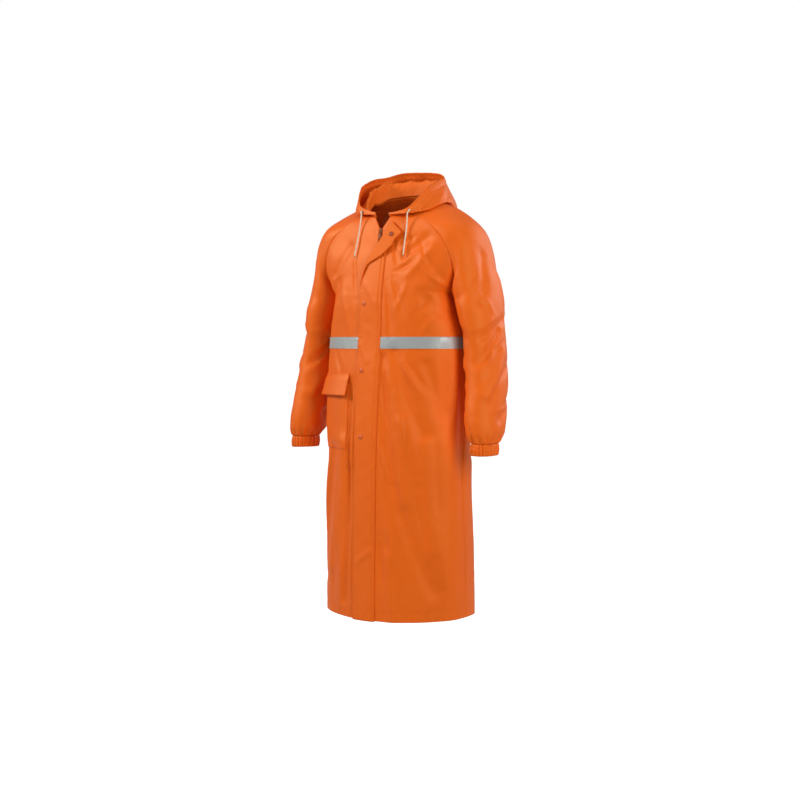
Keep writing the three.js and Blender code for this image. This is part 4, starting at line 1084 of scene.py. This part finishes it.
def hoodHalf(side):
    share = np.concatenate([np.linspace(0, 0.93, hoodShape["columns"] - 8), np.linspace(0.94, 1, 8)])
    at = share * 7
    path = smoothPath(np.stack([pointAt(hood, k, at) for k in "nrdem"], axis=1))
    grid = resample(path, lambda total: total[:, None] * hoodAcross[None, :]).transpose(1, 0, 2)
    seam = np.concatenate([frontBase[-1], sleeveBase[-1][1:], backHalf[-1][1:]])
    seamRun = np.concatenate([[0], np.cumsum(np.linalg.norm(np.diff(seam, axis=0), axis=1))])
    onSeam = np.stack([np.interp(share * seamRun[-1], seamRun, seam[:, k]) for k in range(3)], axis=1)
    pull = np.clip(1 - hoodAcross * 13, 0, 1)[:, None, None]
    grid = grid + pull * (onSeam + (0, 0, 1.2) - grid[0])[None]
    far = hoodAcross[:, None]
    fade = smoothStep(far, 0.35, 0.8) * np.sin(math.pi * share)[None]
    grid[..., 2] += hoodShape["ripple"] * fade * np.sin(14 * share * 2.4)[None]
    grid[..., 2] -= hoodShape["sag"] * far ** 2 * smoothStep(share, 0.55, 0.95)[None]
    grid[..., 2] -= side * hoodShape["lean"] * grid[..., 0] * far ** 2
    if side < 0:
        grid = grid * mirrorX
    n = gridNormals(grid) * side
    length = runs(grid, 0)
    rim = length[-1] - length
    walk = runs(grid, 1)
    big = smoothStep(length[-1], 25, 110)[None]
    depth = 0 * rim
    for s0, f0, s1, f1, width, deep in hoodFolds:
        scaleS, scaleF = 330.0, 260.0
        ax, ay = (s1 - s0) * scaleS, (f1 - f0) * scaleF
        dx, dy = (share[None] - s0) * scaleS, (far - f0) * scaleF
        t = np.clip((dx * ax + dy * ay) / (ax * ax + ay * ay), 0, 1)
        depth = depth + deep * np.exp(-(np.hypot(dx - t * ax, dy - t * ay) / width) ** 2)
    depth += 0.8 * softNoise(grid, 34.0, 6 + side) + 0.3 * softNoise(grid, 14.0, 8 + side)
    casing = hoodShape["casing"]
    depth += hoodShape["bulge"] * np.exp(-((rim - casing / 2) / (casing / 3)) ** 2)
    depth -= 1.0 * np.exp(-((rim - casing) / 2.0) ** 2)
    uneven = 0.6 + 0.5 * softNoise(grid, 24.0, 12)
    wave = np.sin(2 * math.pi * (walk / 10.5 + 0.4 * softNoise(grid, 40.0, 9)))
    depth += hoodShape["gathers"] * np.exp(-rim / 15.0) * wave * uneven
    held = big * smoothStep(walk[:, -1:] - walk, 0, 26)
    grid = grid + n * (depth * held)[..., None]
    return sewnEdge(grid, n, walk[:, -1:] - walk, length, 61, 0.8 * big)


print("making the hood")
for side, sign in (("left", 1), ("right", -1)):
    grid = hoodHalf(sign)
    casing = hoodShape["casing"]
    piece = clothWall("coat_hood_" + side, grid, coat["cloth"], side=sign)
    dress(piece, "shell", "hood_" + side)
    lines = [along(grid, sign, -casing, cols=slice(16, None)), across(grid, sign, -3.0),
             across(grid, sign, -8.0)]
    inner = grid - gridNormals(grid) * sign * coat["cloth"]
    lines.append(along(inner, -sign, -casing, cols=slice(16, None)))
    cutSize(piece, "hood", "draped", ["coat_front_" + side, "coat_back"],
            [stitchRuns("stitches_hood_" + side, lines)])

# cuffs: gathered on elastic, a little below the sleeves' ends
cuff = {"height": 34.0, "ridges": 22, "ridgeDepth": 2.0, "swell": 2.0, "drop": 0.6,
        "columns": 221, "rows": 24}


def makeCuff(side, sign):
    side0, deep0 = arm["side"][-1], arm["deep"][-1]
    share = np.linspace(0, 1, cuff["columns"])[None]
    t = np.linspace(0, 1, cuff["rows"])[:, None]
    angle = 2 * math.pi * share
    wander = 0.5 * np.sin(3 * angle + 1) + 0.35 * np.sin(5 * angle + 2 * sign)
    wave = np.cos(cuff["ridges"] * angle + wander + 0.3 * np.sin(4 * t))
    uneven = 0.85 + 0.25 * np.sin(7 * angle + sign)
    ridge = np.sign(wave) * np.abs(wave) ** 0.8 * cuff["ridgeDepth"] * uneven
    rounded = -1.2 * (np.exp(-(t / 0.07) ** 2) + np.exp(-((1 - t) / 0.07) ** 2))
    rows = -0.5 * (np.exp(-((t - 0.34) / 0.04) ** 2) + np.exp(-((t - 0.67) / 0.04) ** 2))
    out = ridge - 1 + cuff["swell"] * np.sin(math.pi * t) + rounded + rows
    drop = cuff["drop"] + (cuff["height"] - cuff["drop"]) * t
    # from the inner side round the front, as the sleeve goes
    x = arm["x"][-1] - (side0 + out) * np.cos(angle)
    y = arm["y"][-1] - (deep0 + out) * np.sin(angle) - drop * 0.08
    grid = vec(sign * x, y, arm["z"][-1] - drop + 0.5 * np.sin(2 * angle) * t)[::-1]
    piece = clothWall("coat_cuff_" + side, grid, coat["cloth"], cuff["rows"], sign)
    dress(piece, "shell", "cuff_" + side)
    lines = [along(grid, sign, cuff["height"] * f, cuff["rows"]) for f in (0.33, 0.66)]
    cutSize(piece, "cuff", "gathered", ["coat_sleeve_" + side],
            [stitchRuns("stitches_cuff_" + side, lines, pitch=4.0)])


print("making the cuffs")
for side, sign in (("left", 1), ("right", -1)):
    makeCuff(side, sign)

# the fronts as one surface, to lay the flap and the zip on
joined = np.concatenate([frontRight[:, ::-1], frontLeft], axis=1)
joinedOut = np.concatenate([-gridNormals(frontRight)[:, ::-1], gridNormals(frontLeft)], axis=1)
lookupX = np.arange(-150, 151, 2.0)
lookupZ = np.arange(-1206, -50, 3.0)


def frontLookup():
    fields = np.concatenate([joined[..., 1:], joinedOut], axis=2)
    rows = np.stack([
        np.stack([np.interp(lookupX, joined[r, :, 0], fields[r, :, k]) for k in range(5)], axis=1)
        for r in range(len(joined))])
    columns = []
    for c in range(len(lookupX)):
        z = np.maximum.accumulate(rows[:, c, 1])
        columns.append(np.stack([np.interp(lookupZ, z, rows[:, c, k]) for k in (0, 2, 3, 4)], axis=1))
    return np.stack(columns, axis=1)


lookup = frontLookup()


def onFront(x, z):
    u = np.clip((np.asarray(x, float) - lookupX[0]) / 2.0, 0, len(lookupX) - 1.001)
    w = np.clip((np.asarray(z, float) - lookupZ[0]) / 3.0, 0, len(lookupZ) - 1.001)
    c, r = u.astype(int), w.astype(int)
    fu, fw = (u - c)[..., None], (w - r)[..., None]
    field = (lookup[r, c] * (1 - fu) + lookup[r, c + 1] * fu) * (1 - fw)
    field = field + (lookup[r + 1, c] * (1 - fu) + lookup[r + 1, c + 1] * fu) * fw
    n = field[..., 1:] / np.linalg.norm(field[..., 1:], axis=-1, keepdims=True)
    return vec(x, field[..., 0], z), n


# storm flap: sewn to the left front and turned out like a lapel at the top
flap = {"width": 77.0, "topZ": -72.0, "roll": 3.2, "edgeWave": 0.8, "stitchIn": 4.5}
crease = table("z x lean width", [
    (flap["topZ"], 43, 20, 53),
    (-90, 28, 22, 61),
    (-121, 9, 25, 69),
    (-150, -13, 26, flap["width"]),
    (-184, -33, 22, flap["width"]),
    (-240, -45, 12, flap["width"]),
    (-300, -51, 6, flap["width"]),
    (-360, -52, 6, flap["width"]),
])
flapFolds = [  # troughs and ridges across the flap: x and z of both ends, width, depth
    (5, -640, -32, -664, 8, -2.2),
    (-36, -730, -10, -774, 7, -2.4),
    (-10, -774, 20, -790, 7, -2.4),
    (17, -770, 6, -802, 6, 1.8),
    (6, -802, -30, -824, 8, -2.4),
    (20, -856, -8, -872, 7, -2.2),
    (12, -930, -30, -984, 10, -3.2),
    (8, -1006, -38, -1040, 8, 2.4),
    (14, -1034, -32, -1080, 9, -3.2),
    (20, -1064, -42, -1122, 9, -2.8),
    (8, -1126, -40, -1150, 8, -2.8),
    (-20, -360, 8, -372, 9, -1.4),
    (-42, -420, -16, -470, 9, 1.6),
    (-44, -520, -36, -620, 8, -2.0),
    (-30, -250, 4, -300, 11, 1.8),
    (16, -330, 18, -470, 6, -1.8),
    (-8, -480, 16, -520, 9, -1.6),
]


def flapSeam(z):
    return coat["flapSeamX"] + coat["neckSpread"] * flapOpen(z)


def onFlap(z, w):  # middle of the flap's cloth at distances from its sewn edge
    at = rowAt(crease, "z", z)
    lean = np.radians(smooth(crease, "lean", at))
    seam = flapSeam(z)
    line = np.minimum(seam - 1, smooth(crease, "x", at))
    base = coat["gap"] + coat["cloth"] / 2 + 1.2 * flapOpen(z)
    past = w - (seam - line)
    flat = (z < -300) | (past <= 0)
    roll = flap["roll"]
    wrapped = past * np.cos(lean)
    turn = np.clip(wrapped / roll, 0, math.pi)
    out = np.where(turn < math.pi, roll * np.sin(turn), math.pi * roll - wrapped)
    down = past * np.sin(lean)
    x = np.where(flat, seam - w, line - out * np.cos(lean) - down * np.sin(lean))
    height = np.where(flat, z, z + out * np.sin(lean) - down * np.cos(lean))
    lift = np.where(flat, base, base + roll * (1 - np.cos(turn)))
    depth = 0 * lift
    for x0, z0, x1, z1, width, deep in flapFolds:
        ax, az = x1 - x0, z1 - z0
        t = np.clip(((x - x0) * ax + (height - z0) * az) / (ax * ax + az * az), 0, 1)
        depth += deep * np.exp(-(np.hypot(x - x0 - t * ax, height - z0 - t * az) / width) ** 2)
    width = smooth(crease, "width", at)
    free = width - w
    wave = np.sin(2 * math.pi * (z / 14.0) + 3 * np.sin(z / 37.0)) * (0.6 + 0.5 * np.sin(z / 23.0))
    edge = flap["edgeWave"] * wave * np.exp(-(free / 10) ** 2)
    groove = -0.7 * np.exp(-((free - flap["stitchIn"]) / 1.6) ** 2)
    seamRidge = 0.9 * np.exp(-((w - 4.6) / 3.0) ** 2) - 1.3 * np.exp(-((w - 9.0) / 1.5) ** 2)
    seamRidge = seamRidge - 0.6 * np.exp(-(w / 1.4) ** 2)
    lying = np.where(flat, 1.0, np.clip(1 - turn, 0, 1))
    hold = smoothStep(w, 2, 14) * lying
    p, n = onFront(x, height)
    relief = depth * hold + edge * lying + (groove + seamRidge) * lying
    lift = lift + np.maximum(relief, -0.5) + 1.6 * hold
    return p + n * lift[..., None]


flapZ = np.concatenate([[-1206 + 2.0], np.arange(-1200, flap["topZ"], 4.6), [flap["topZ"]]])
flapShares = []
for z in flapZ:
    wide = float(smooth(crease, "width", rowAt(crease, "z", z)))
    bend = float(np.clip(flapSeam(z) - smooth(crease, "x", rowAt(crease, "z", z)), 1, wide - 15))
    sewn = min(12, bend * 0.4)
    head = np.concatenate([np.linspace(0, sewn, 9)[:-1], np.linspace(sewn, bend, 15)])
    flapShares.append(np.concatenate([
        head, np.linspace(bend, bend + 10.6, 10)[1:], np.linspace(bend + 10.6, wide, 14)[1:]]))
flapW = np.array(flapShares)
flapRowZ = flapZ[:, None] + 0 * flapW
flapGrid = onFlap(flapRowZ, flapW)[:, ::-1]
print("making the flap")
half = coat["cloth"] / 2
flapLift = np.full(flapGrid.shape[:2], half)
flapPiece = clothWall("coat_storm_flap", flapGrid, coat["cloth"], lift=flapLift)
dress(flapPiece, "shell", "storm_flap")
flapOut = gridNormals(flapGrid)
face, under = flapGrid + flapOut * half, flapGrid - flapOut * half
turnedRow = int(np.searchsorted(flapZ, -330))
lines = [across(face, 1, -2.2), across(face, 1, -9.4), across(face, 1, flap["stitchIn"]),
         across(under, -1, flap["stitchIn"], rows=slice(turnedRow, None)),
         along(face, 1, coat["hemDepth"] - 3), along(under, -1, -4.0)]
cutSize(flapPiece, "flap", "hung", ["coat_front_left", "coat_front_right"],
        [stitchRuns("stitches_storm_flap", lines)])


def stripOn(grid, side, z, cols):  # part of a panel between columns, at given heights
    n = gridNormals(grid) * side
    place, out = [], []
    for c in range(*cols.indices(grid.shape[1])):
        place.append(np.stack([np.interp(z, grid[:, c, 2], grid[:, c, k]) for k in range(3)], axis=1))
        out.append(np.stack([np.interp(z, grid[:, c, 2], n[:, c, k]) for k in range(3)], axis=1))
    out = np.stack(out, axis=1)
    return np.stack(place, axis=1), out / np.linalg.norm(out, axis=2, keepdims=True)


# reflective tape round the chest
tape = {"top": -398.0, "bottom": -431.0, "thickness": 1.1, "edgeIn": 2.2, "puckers": 0.25}
tapeZ = np.concatenate([
    [-431, -430.5, -430, -429, -428], np.linspace(-426, -403, 10), [-401, -400, -399, -398.5, -398]])
silver = finishes["grey reflective tape"]
print("making the tape")
for name, grid, side, cols, cut in (
        ("front_left", frontLeft, 1, slice(flapColumn, None), "tapeFront"),
        ("front_right", frontRight, -1, slice(flapColumn + 5, None), "tapeFront"),
        ("back", back, 1, slice(0, None), "tapeBack")):
    strip, out = stripOn(grid, side, tapeZ, cols)
    rim = np.minimum(tapeZ - tape["bottom"], tape["top"] - tapeZ)[:, None]
    walk = runs(strip, 1)
    pucker = tape["puckers"] * np.sin(walk / 3.4 + np.sin(walk / 11)) * np.exp(-rim / 4)
    rise = coat["gap"] + tape["thickness"] + pucker - 0.5 * np.exp(-((rim - tape["edgeIn"]) / 1.0) ** 2)
    rise = rise + 0.3 * np.exp(-((walk - 178) / 2.5) ** 2)  # a small crease across the tape
    strip = strip + out * rise[..., None]
    piece = clothWall("tape_" + name + "_strip", strip, tape["thickness"], side=side,
                      outside=silver, within=silver)
    dress(piece, "reflective_tape", "tape_" + name)
    lines = [along(strip, side, tape["edgeIn"]), along(strip, side, -tape["edgeIn"])]
    stitches = stitchRuns("stitches_tape_" + name, lines, radius=0.3, thread="grey sewing thread")
    cutSize(piece, cut, "laid", ["coat_" + name], [stitches])

# patch pocket and its flap, on the right front
pocket = {"top": -532.0, "bottom": -719.0, "bulge": 2.2, "stitchIn": 2.6, "flapTop": -501.0,
          "flapEnd": -566.0, "flapLift": 12.0}
pocketCols = slice(pocketNear, pocketFar + 1)
print("making the pocket")
pocketZ = np.concatenate([[-719, -718, -716.5, -714, -711], np.linspace(-706, -532, 36)])
bag, out = stripOn(frontRight, -1, pocketZ, pocketCols)
u = np.linspace(0, 1, bag.shape[1])[None]
t = ((pocketZ - pocket["bottom"]) / (pocket["top"] - pocket["bottom"]))[:, None]
edgeIn = np.minimum(runs(bag, 1), runs(bag, 1)[:, -1:] - runs(bag, 1))
edgeIn = np.minimum(edgeIn, runs(bag, 0))
lying = coat["gap"] + coat["cloth"]
inward = smoothStep(edgeIn, 3, 14)
rise = lying + pocket["bulge"] * smoothStep(edgeIn, 4, 26) + 0.8 * softNoise(bag, 22.0, 71) * inward
rise = rise - 0.6 * np.exp(-((edgeIn - pocket["stitchIn"]) / 1.4) ** 2)
rise = rise - 1.6 * np.exp(-((u - 0.62 + 0.1 * t) / 0.07) ** 2) * inward
bag = bag + out * np.maximum(rise, lying)[..., None]
pocketPiece = dress(clothWall("coat_pocket", bag, coat["cloth"], side=-1), "shell", "pocket")
lines = [across(bag, -1, pocket["stitchIn"]), across(bag, -1, -pocket["stitchIn"]),
         along(bag, -1, pocket["stitchIn"])]
cutSize(pocketPiece, "pocket", "laid", ["coat_front_right"], [stitchRuns("stitches_pocket", lines)])

lidZ = np.linspace(pocket["flapEnd"], pocket["flapTop"], 26)
lid, out = stripOn(frontRight, -1, lidZ, slice(pocketNear - 1, pocketFar + 2))
u = np.linspace(0, 1, lid.shape[1])[None]
t = ((pocket["flapTop"] - lidZ) / (pocket["flapTop"] - pocket["flapEnd"]))[:, None]
rise = lying + pocket["flapLift"] * t ** 1.15 + 2.4 * smoothStep(t, 0.1, 0.35)
rise = rise + 0.7 * np.sin(2.2 * math.pi * u + 0.6) * t - 0.6 * np.exp(-((t - 0.08) / 0.025) ** 2)
lid = lid + out * rise[..., None]
lid[..., 0] -= 3.0 * t ** 1.5  # the lower edge swings outward
lidPiece = dress(clothWall("coat_pocket_flap", lid, coat["cloth"], side=-1), "shell", "pocket_flap")
lines = [across(lid, -1, 3.0), across(lid, -1, -3.0), along(lid, -1, 3.0), along(lid, -1, -2.0),
         along(lid, -1, -7.0)]
cutSize(lidPiece, "pocketFlap", "hung", ["coat_front_right", "coat_pocket"],
        [stitchRuns("stitches_pocket_flap", lines)])

# zip: tapes behind the front edges, with a row of teeth between them
zipper = {"thickness": 1.1, "pitch": 2.6, "tooth": (2.5, 1.3, 1.5), "sliderZ": -96.0, "from": -1188.0}
print("making the zip")
zipZ = np.concatenate([np.arange(-1200, coat["zipTopZ"] - 1, 5.0), [coat["zipTopZ"]]])
for side, sign in (("left", 1), ("right", -1)):
    z, x = np.meshgrid(zipZ, np.array([0.3, 1.2, 3, 5, 8, 11, 14.0]), indexing="ij")
    p, n = onFront(sign * x, z)
    band = p - n * (coat["cloth"] + coat["gap"])
    piece = clothWall("zip_band_" + side, band, zipper["thickness"], side=sign,
                      outside=finishes["zip tape"], within=finishes["zip tape"])
    dress(piece, "zip_tape", "zip_tape_" + side)
    cutSize(piece, "zipTape", "hung", ["coat_front_" + side])

toothZ = np.arange(zipper["from"], zipper["sliderZ"] - 7, zipper["pitch"] / 2)
toothSide = np.where(np.arange(len(toothZ)) % 2, 1.0, -1.0)
place, out = onFront(0.75 * toothSide, toothZ)
place = place - out * (coat["cloth"] * 0.6)
w, d, h = zipper["tooth"]
corner = np.array([(x, y, z) for x in (-0.5, 0.5) for y in (-0.5, 0.5) for z in (-0.5, 0.5)])
sideways = vec(1, 0 * toothZ, 0)
up = np.cross(sideways, out)
frameOf = np.stack([sideways, out, up], axis=1)
teeth = place[:, None] + np.einsum("vk,nkd->nvd", corner * (w, d, h), frameOf)
boxFaces = np.array([(0, 1, 3, 2), (4, 6, 7, 5), (0, 4, 5, 1), (2, 3, 7, 6), (0, 2, 6, 4),
                     (1, 5, 7, 3)])
teethFaces = (boxFaces[None] + 8 * np.arange(len(toothZ))[:, None, None]).reshape(-1, 4)
teethPiece = meshPiece("zip_teeth", teeth.reshape(-1, 3), teethFaces, (finishes["zip tape"],))
dress(teethPiece, "zip_tape")


def turned(name, profile, centre, normal, segments=40, material="painted snap"):
    normal = np.array(normal, float) / np.linalg.norm(normal)
    a = np.cross(normal, (1.0, 0, 0))
    a /= np.linalg.norm(a)
    b = np.cross(normal, a)
    angle = np.linspace(0, 2 * math.pi, segments, endpoint=False)
    ring = np.cos(angle)[:, None] * a + np.sin(angle)[:, None] * b
    rows = [np.array(centre) + normal * h + r * ring for r, h in profile]
    points = np.concatenate(rows)
    faces = []
    count = len(profile)
    closed = profile[0] == profile[-1]
    for k in range(count - 1):
        for j in range(segments):
            i, m = k * segments + j, k * segments + (j + 1) % segments
            faces.append((i, m, m + segments, i + segments))
    if closed:
        faces = [tuple(v % ((count - 1) * segments) for v in f) for f in faces]
        points = points[:(count - 1) * segments]
    else:
        last = (count - 1) * segments
        faces += [tuple(range(segments))[::-1], tuple(last + j for j in range(segments))]
    mesh = bpy.data.meshes.new(name)
    mesh.from_pydata((points * mm).tolist(), [], faces)
    mesh.polygons.foreach_set("use_smooth", [len(f) == 4 for f in faces])
    mesh.materials.append(finishes[material])
    piece = bpy.data.objects.new(name, mesh)
    scene.collection.objects.link(piece)
    return piece


# snaps: a domed cap with a rim
snaps = {
    "places": [(-304, 0), (-494, 0), (-682, 6)],
    "fromEdge": 19.0,
    "cap": [(6.4, 0), (7, 0.3), (7, 1.0), (6.4, 1.5), (5.7, 1.3), (5.2, 1.6), (3.6, 2.5), (1.8, 2.9),
            (0.3, 3.0)],
}
print("making the snaps and eyelets")
for k, (z, aside) in enumerate(snaps["places"], 1):
    w = flap["width"] - snaps["fromEdge"] - aside
    p = onFlap(np.array(float(z)), np.array(w))
    _, n = onFront(p[0], p[2])
    cap = turned("snap_%d" % k, snaps["cap"], p + n * (coat["cloth"] / 2 - 0.2), n)
    dress(cap, "snap", "snap_cap_%d" % k)

for name, material in (("snap_socket", "darker snap socket"), ("zip_slider", "painted zip metal"),
                       ("zip_pull", "painted zip metal"), ("eyelet_left", "dull eyelet metal"),
                       ("eyelet_right", "dull eyelet metal")):
    nodes[name].data.materials.clear()
    nodes[name].data.materials.append(finishes[material])

# floor, light and white background
studio = {"floorZ": -1.42, "skyLight": 0.24, "floorLight": 0.2, "keyPower": 134, "fillPower": 78,
          "topPower": 16, "backPower": 45}
print("setting the stage")
size = 40
floorMesh = bpy.data.meshes.new("floor")
corners = [(x * size, y * size, studio["floorZ"]) for x, y in ((-1, -1), (1, -1), (1, 1), (-1, 1))]
floorMesh.from_pydata(corners, [], [(0, 1, 2, 3)])
floor = bpy.data.objects.new("floor", floorMesh)
scene.collection.objects.link(floor)
floorMaterial = bpy.data.materials.new("pale floor")
floorMaterial.use_nodes = True
tree = floorMaterial.node_tree
floorShader = tree.nodes["Principled BSDF"]
floorShader.inputs["Base Color"].default_value = (0.3, 0.3, 0.3, 1)
floorShader.inputs["Roughness"].default_value = 0.95
floorShader.inputs["Emission Color"].default_value = (1, 1, 1, 1)
floorRay = addNode(tree, "ShaderNodeLightPath")
floorGlow = addNode(tree, "ShaderNodeMapRange", {"Value": floorRay.outputs["Is Camera Ray"]},
                    To_Min=studio["floorLight"], To_Max=1.0)
tree.links.new(floorGlow.outputs[0], floorShader.inputs["Emission Strength"])
floorMesh.materials.append(floorMaterial)
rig.stage(floor)

world = bpy.data.worlds.new("studio")
scene.world = world
world.use_nodes = True
tree = world.node_tree
ray = addNode(tree, "ShaderNodeLightPath")
glow = addNode(tree, "ShaderNodeMapRange", {"Value": ray.outputs["Is Camera Ray"]},
               To_Min=studio["skyLight"], To_Max=1.0)
tree.links.new(glow.outputs[0], tree.nodes["Background"].inputs["Strength"])
tree.nodes["Background"].inputs["Color"].default_value = (1, 1, 1, 1)
scene.view_settings.view_transform = "Standard"


def softLight(name, place, aim, size, power):
    data = bpy.data.lights.new(name, "AREA")
    data.shape = "RECTANGLE"
    data.size, data.size_y = size
    data.energy = power
    lamp = bpy.data.objects.new(name, data)
    scene.collection.objects.link(lamp)
    lamp.location = place
    lamp.rotation_euler = (Vector(aim) - Vector(place)).to_track_quat("-Z", "Y").to_euler()


softLight("key", (-3.0, -2.5, 1.7), (0, 0, -0.5), (1.2, 1.2), studio["keyPower"])
softLight("fill", (3.4, -1.6, 0.5), (0, 0, -0.6), (1.2, 2.0), studio["fillPower"])
softLight("back", (1.6, 3.2, 1.0), (0, 0, -0.6), (1.6, 2.0), studio["backPower"])
softLight("top", (0.4, -0.4, 2.6), (0, 0, -0.2), (2.0, 2.0), studio["topPower"])

bpy.context.view_layer.update()
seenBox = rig.bounds()
with open("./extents.json", "w") as out:
    boxes = {"cad": cadBox, "visual": seenBox}
    json.dump({name: [list(map(float, c)) for c in box] for name, box in boxes.items()}, out)
print("done")
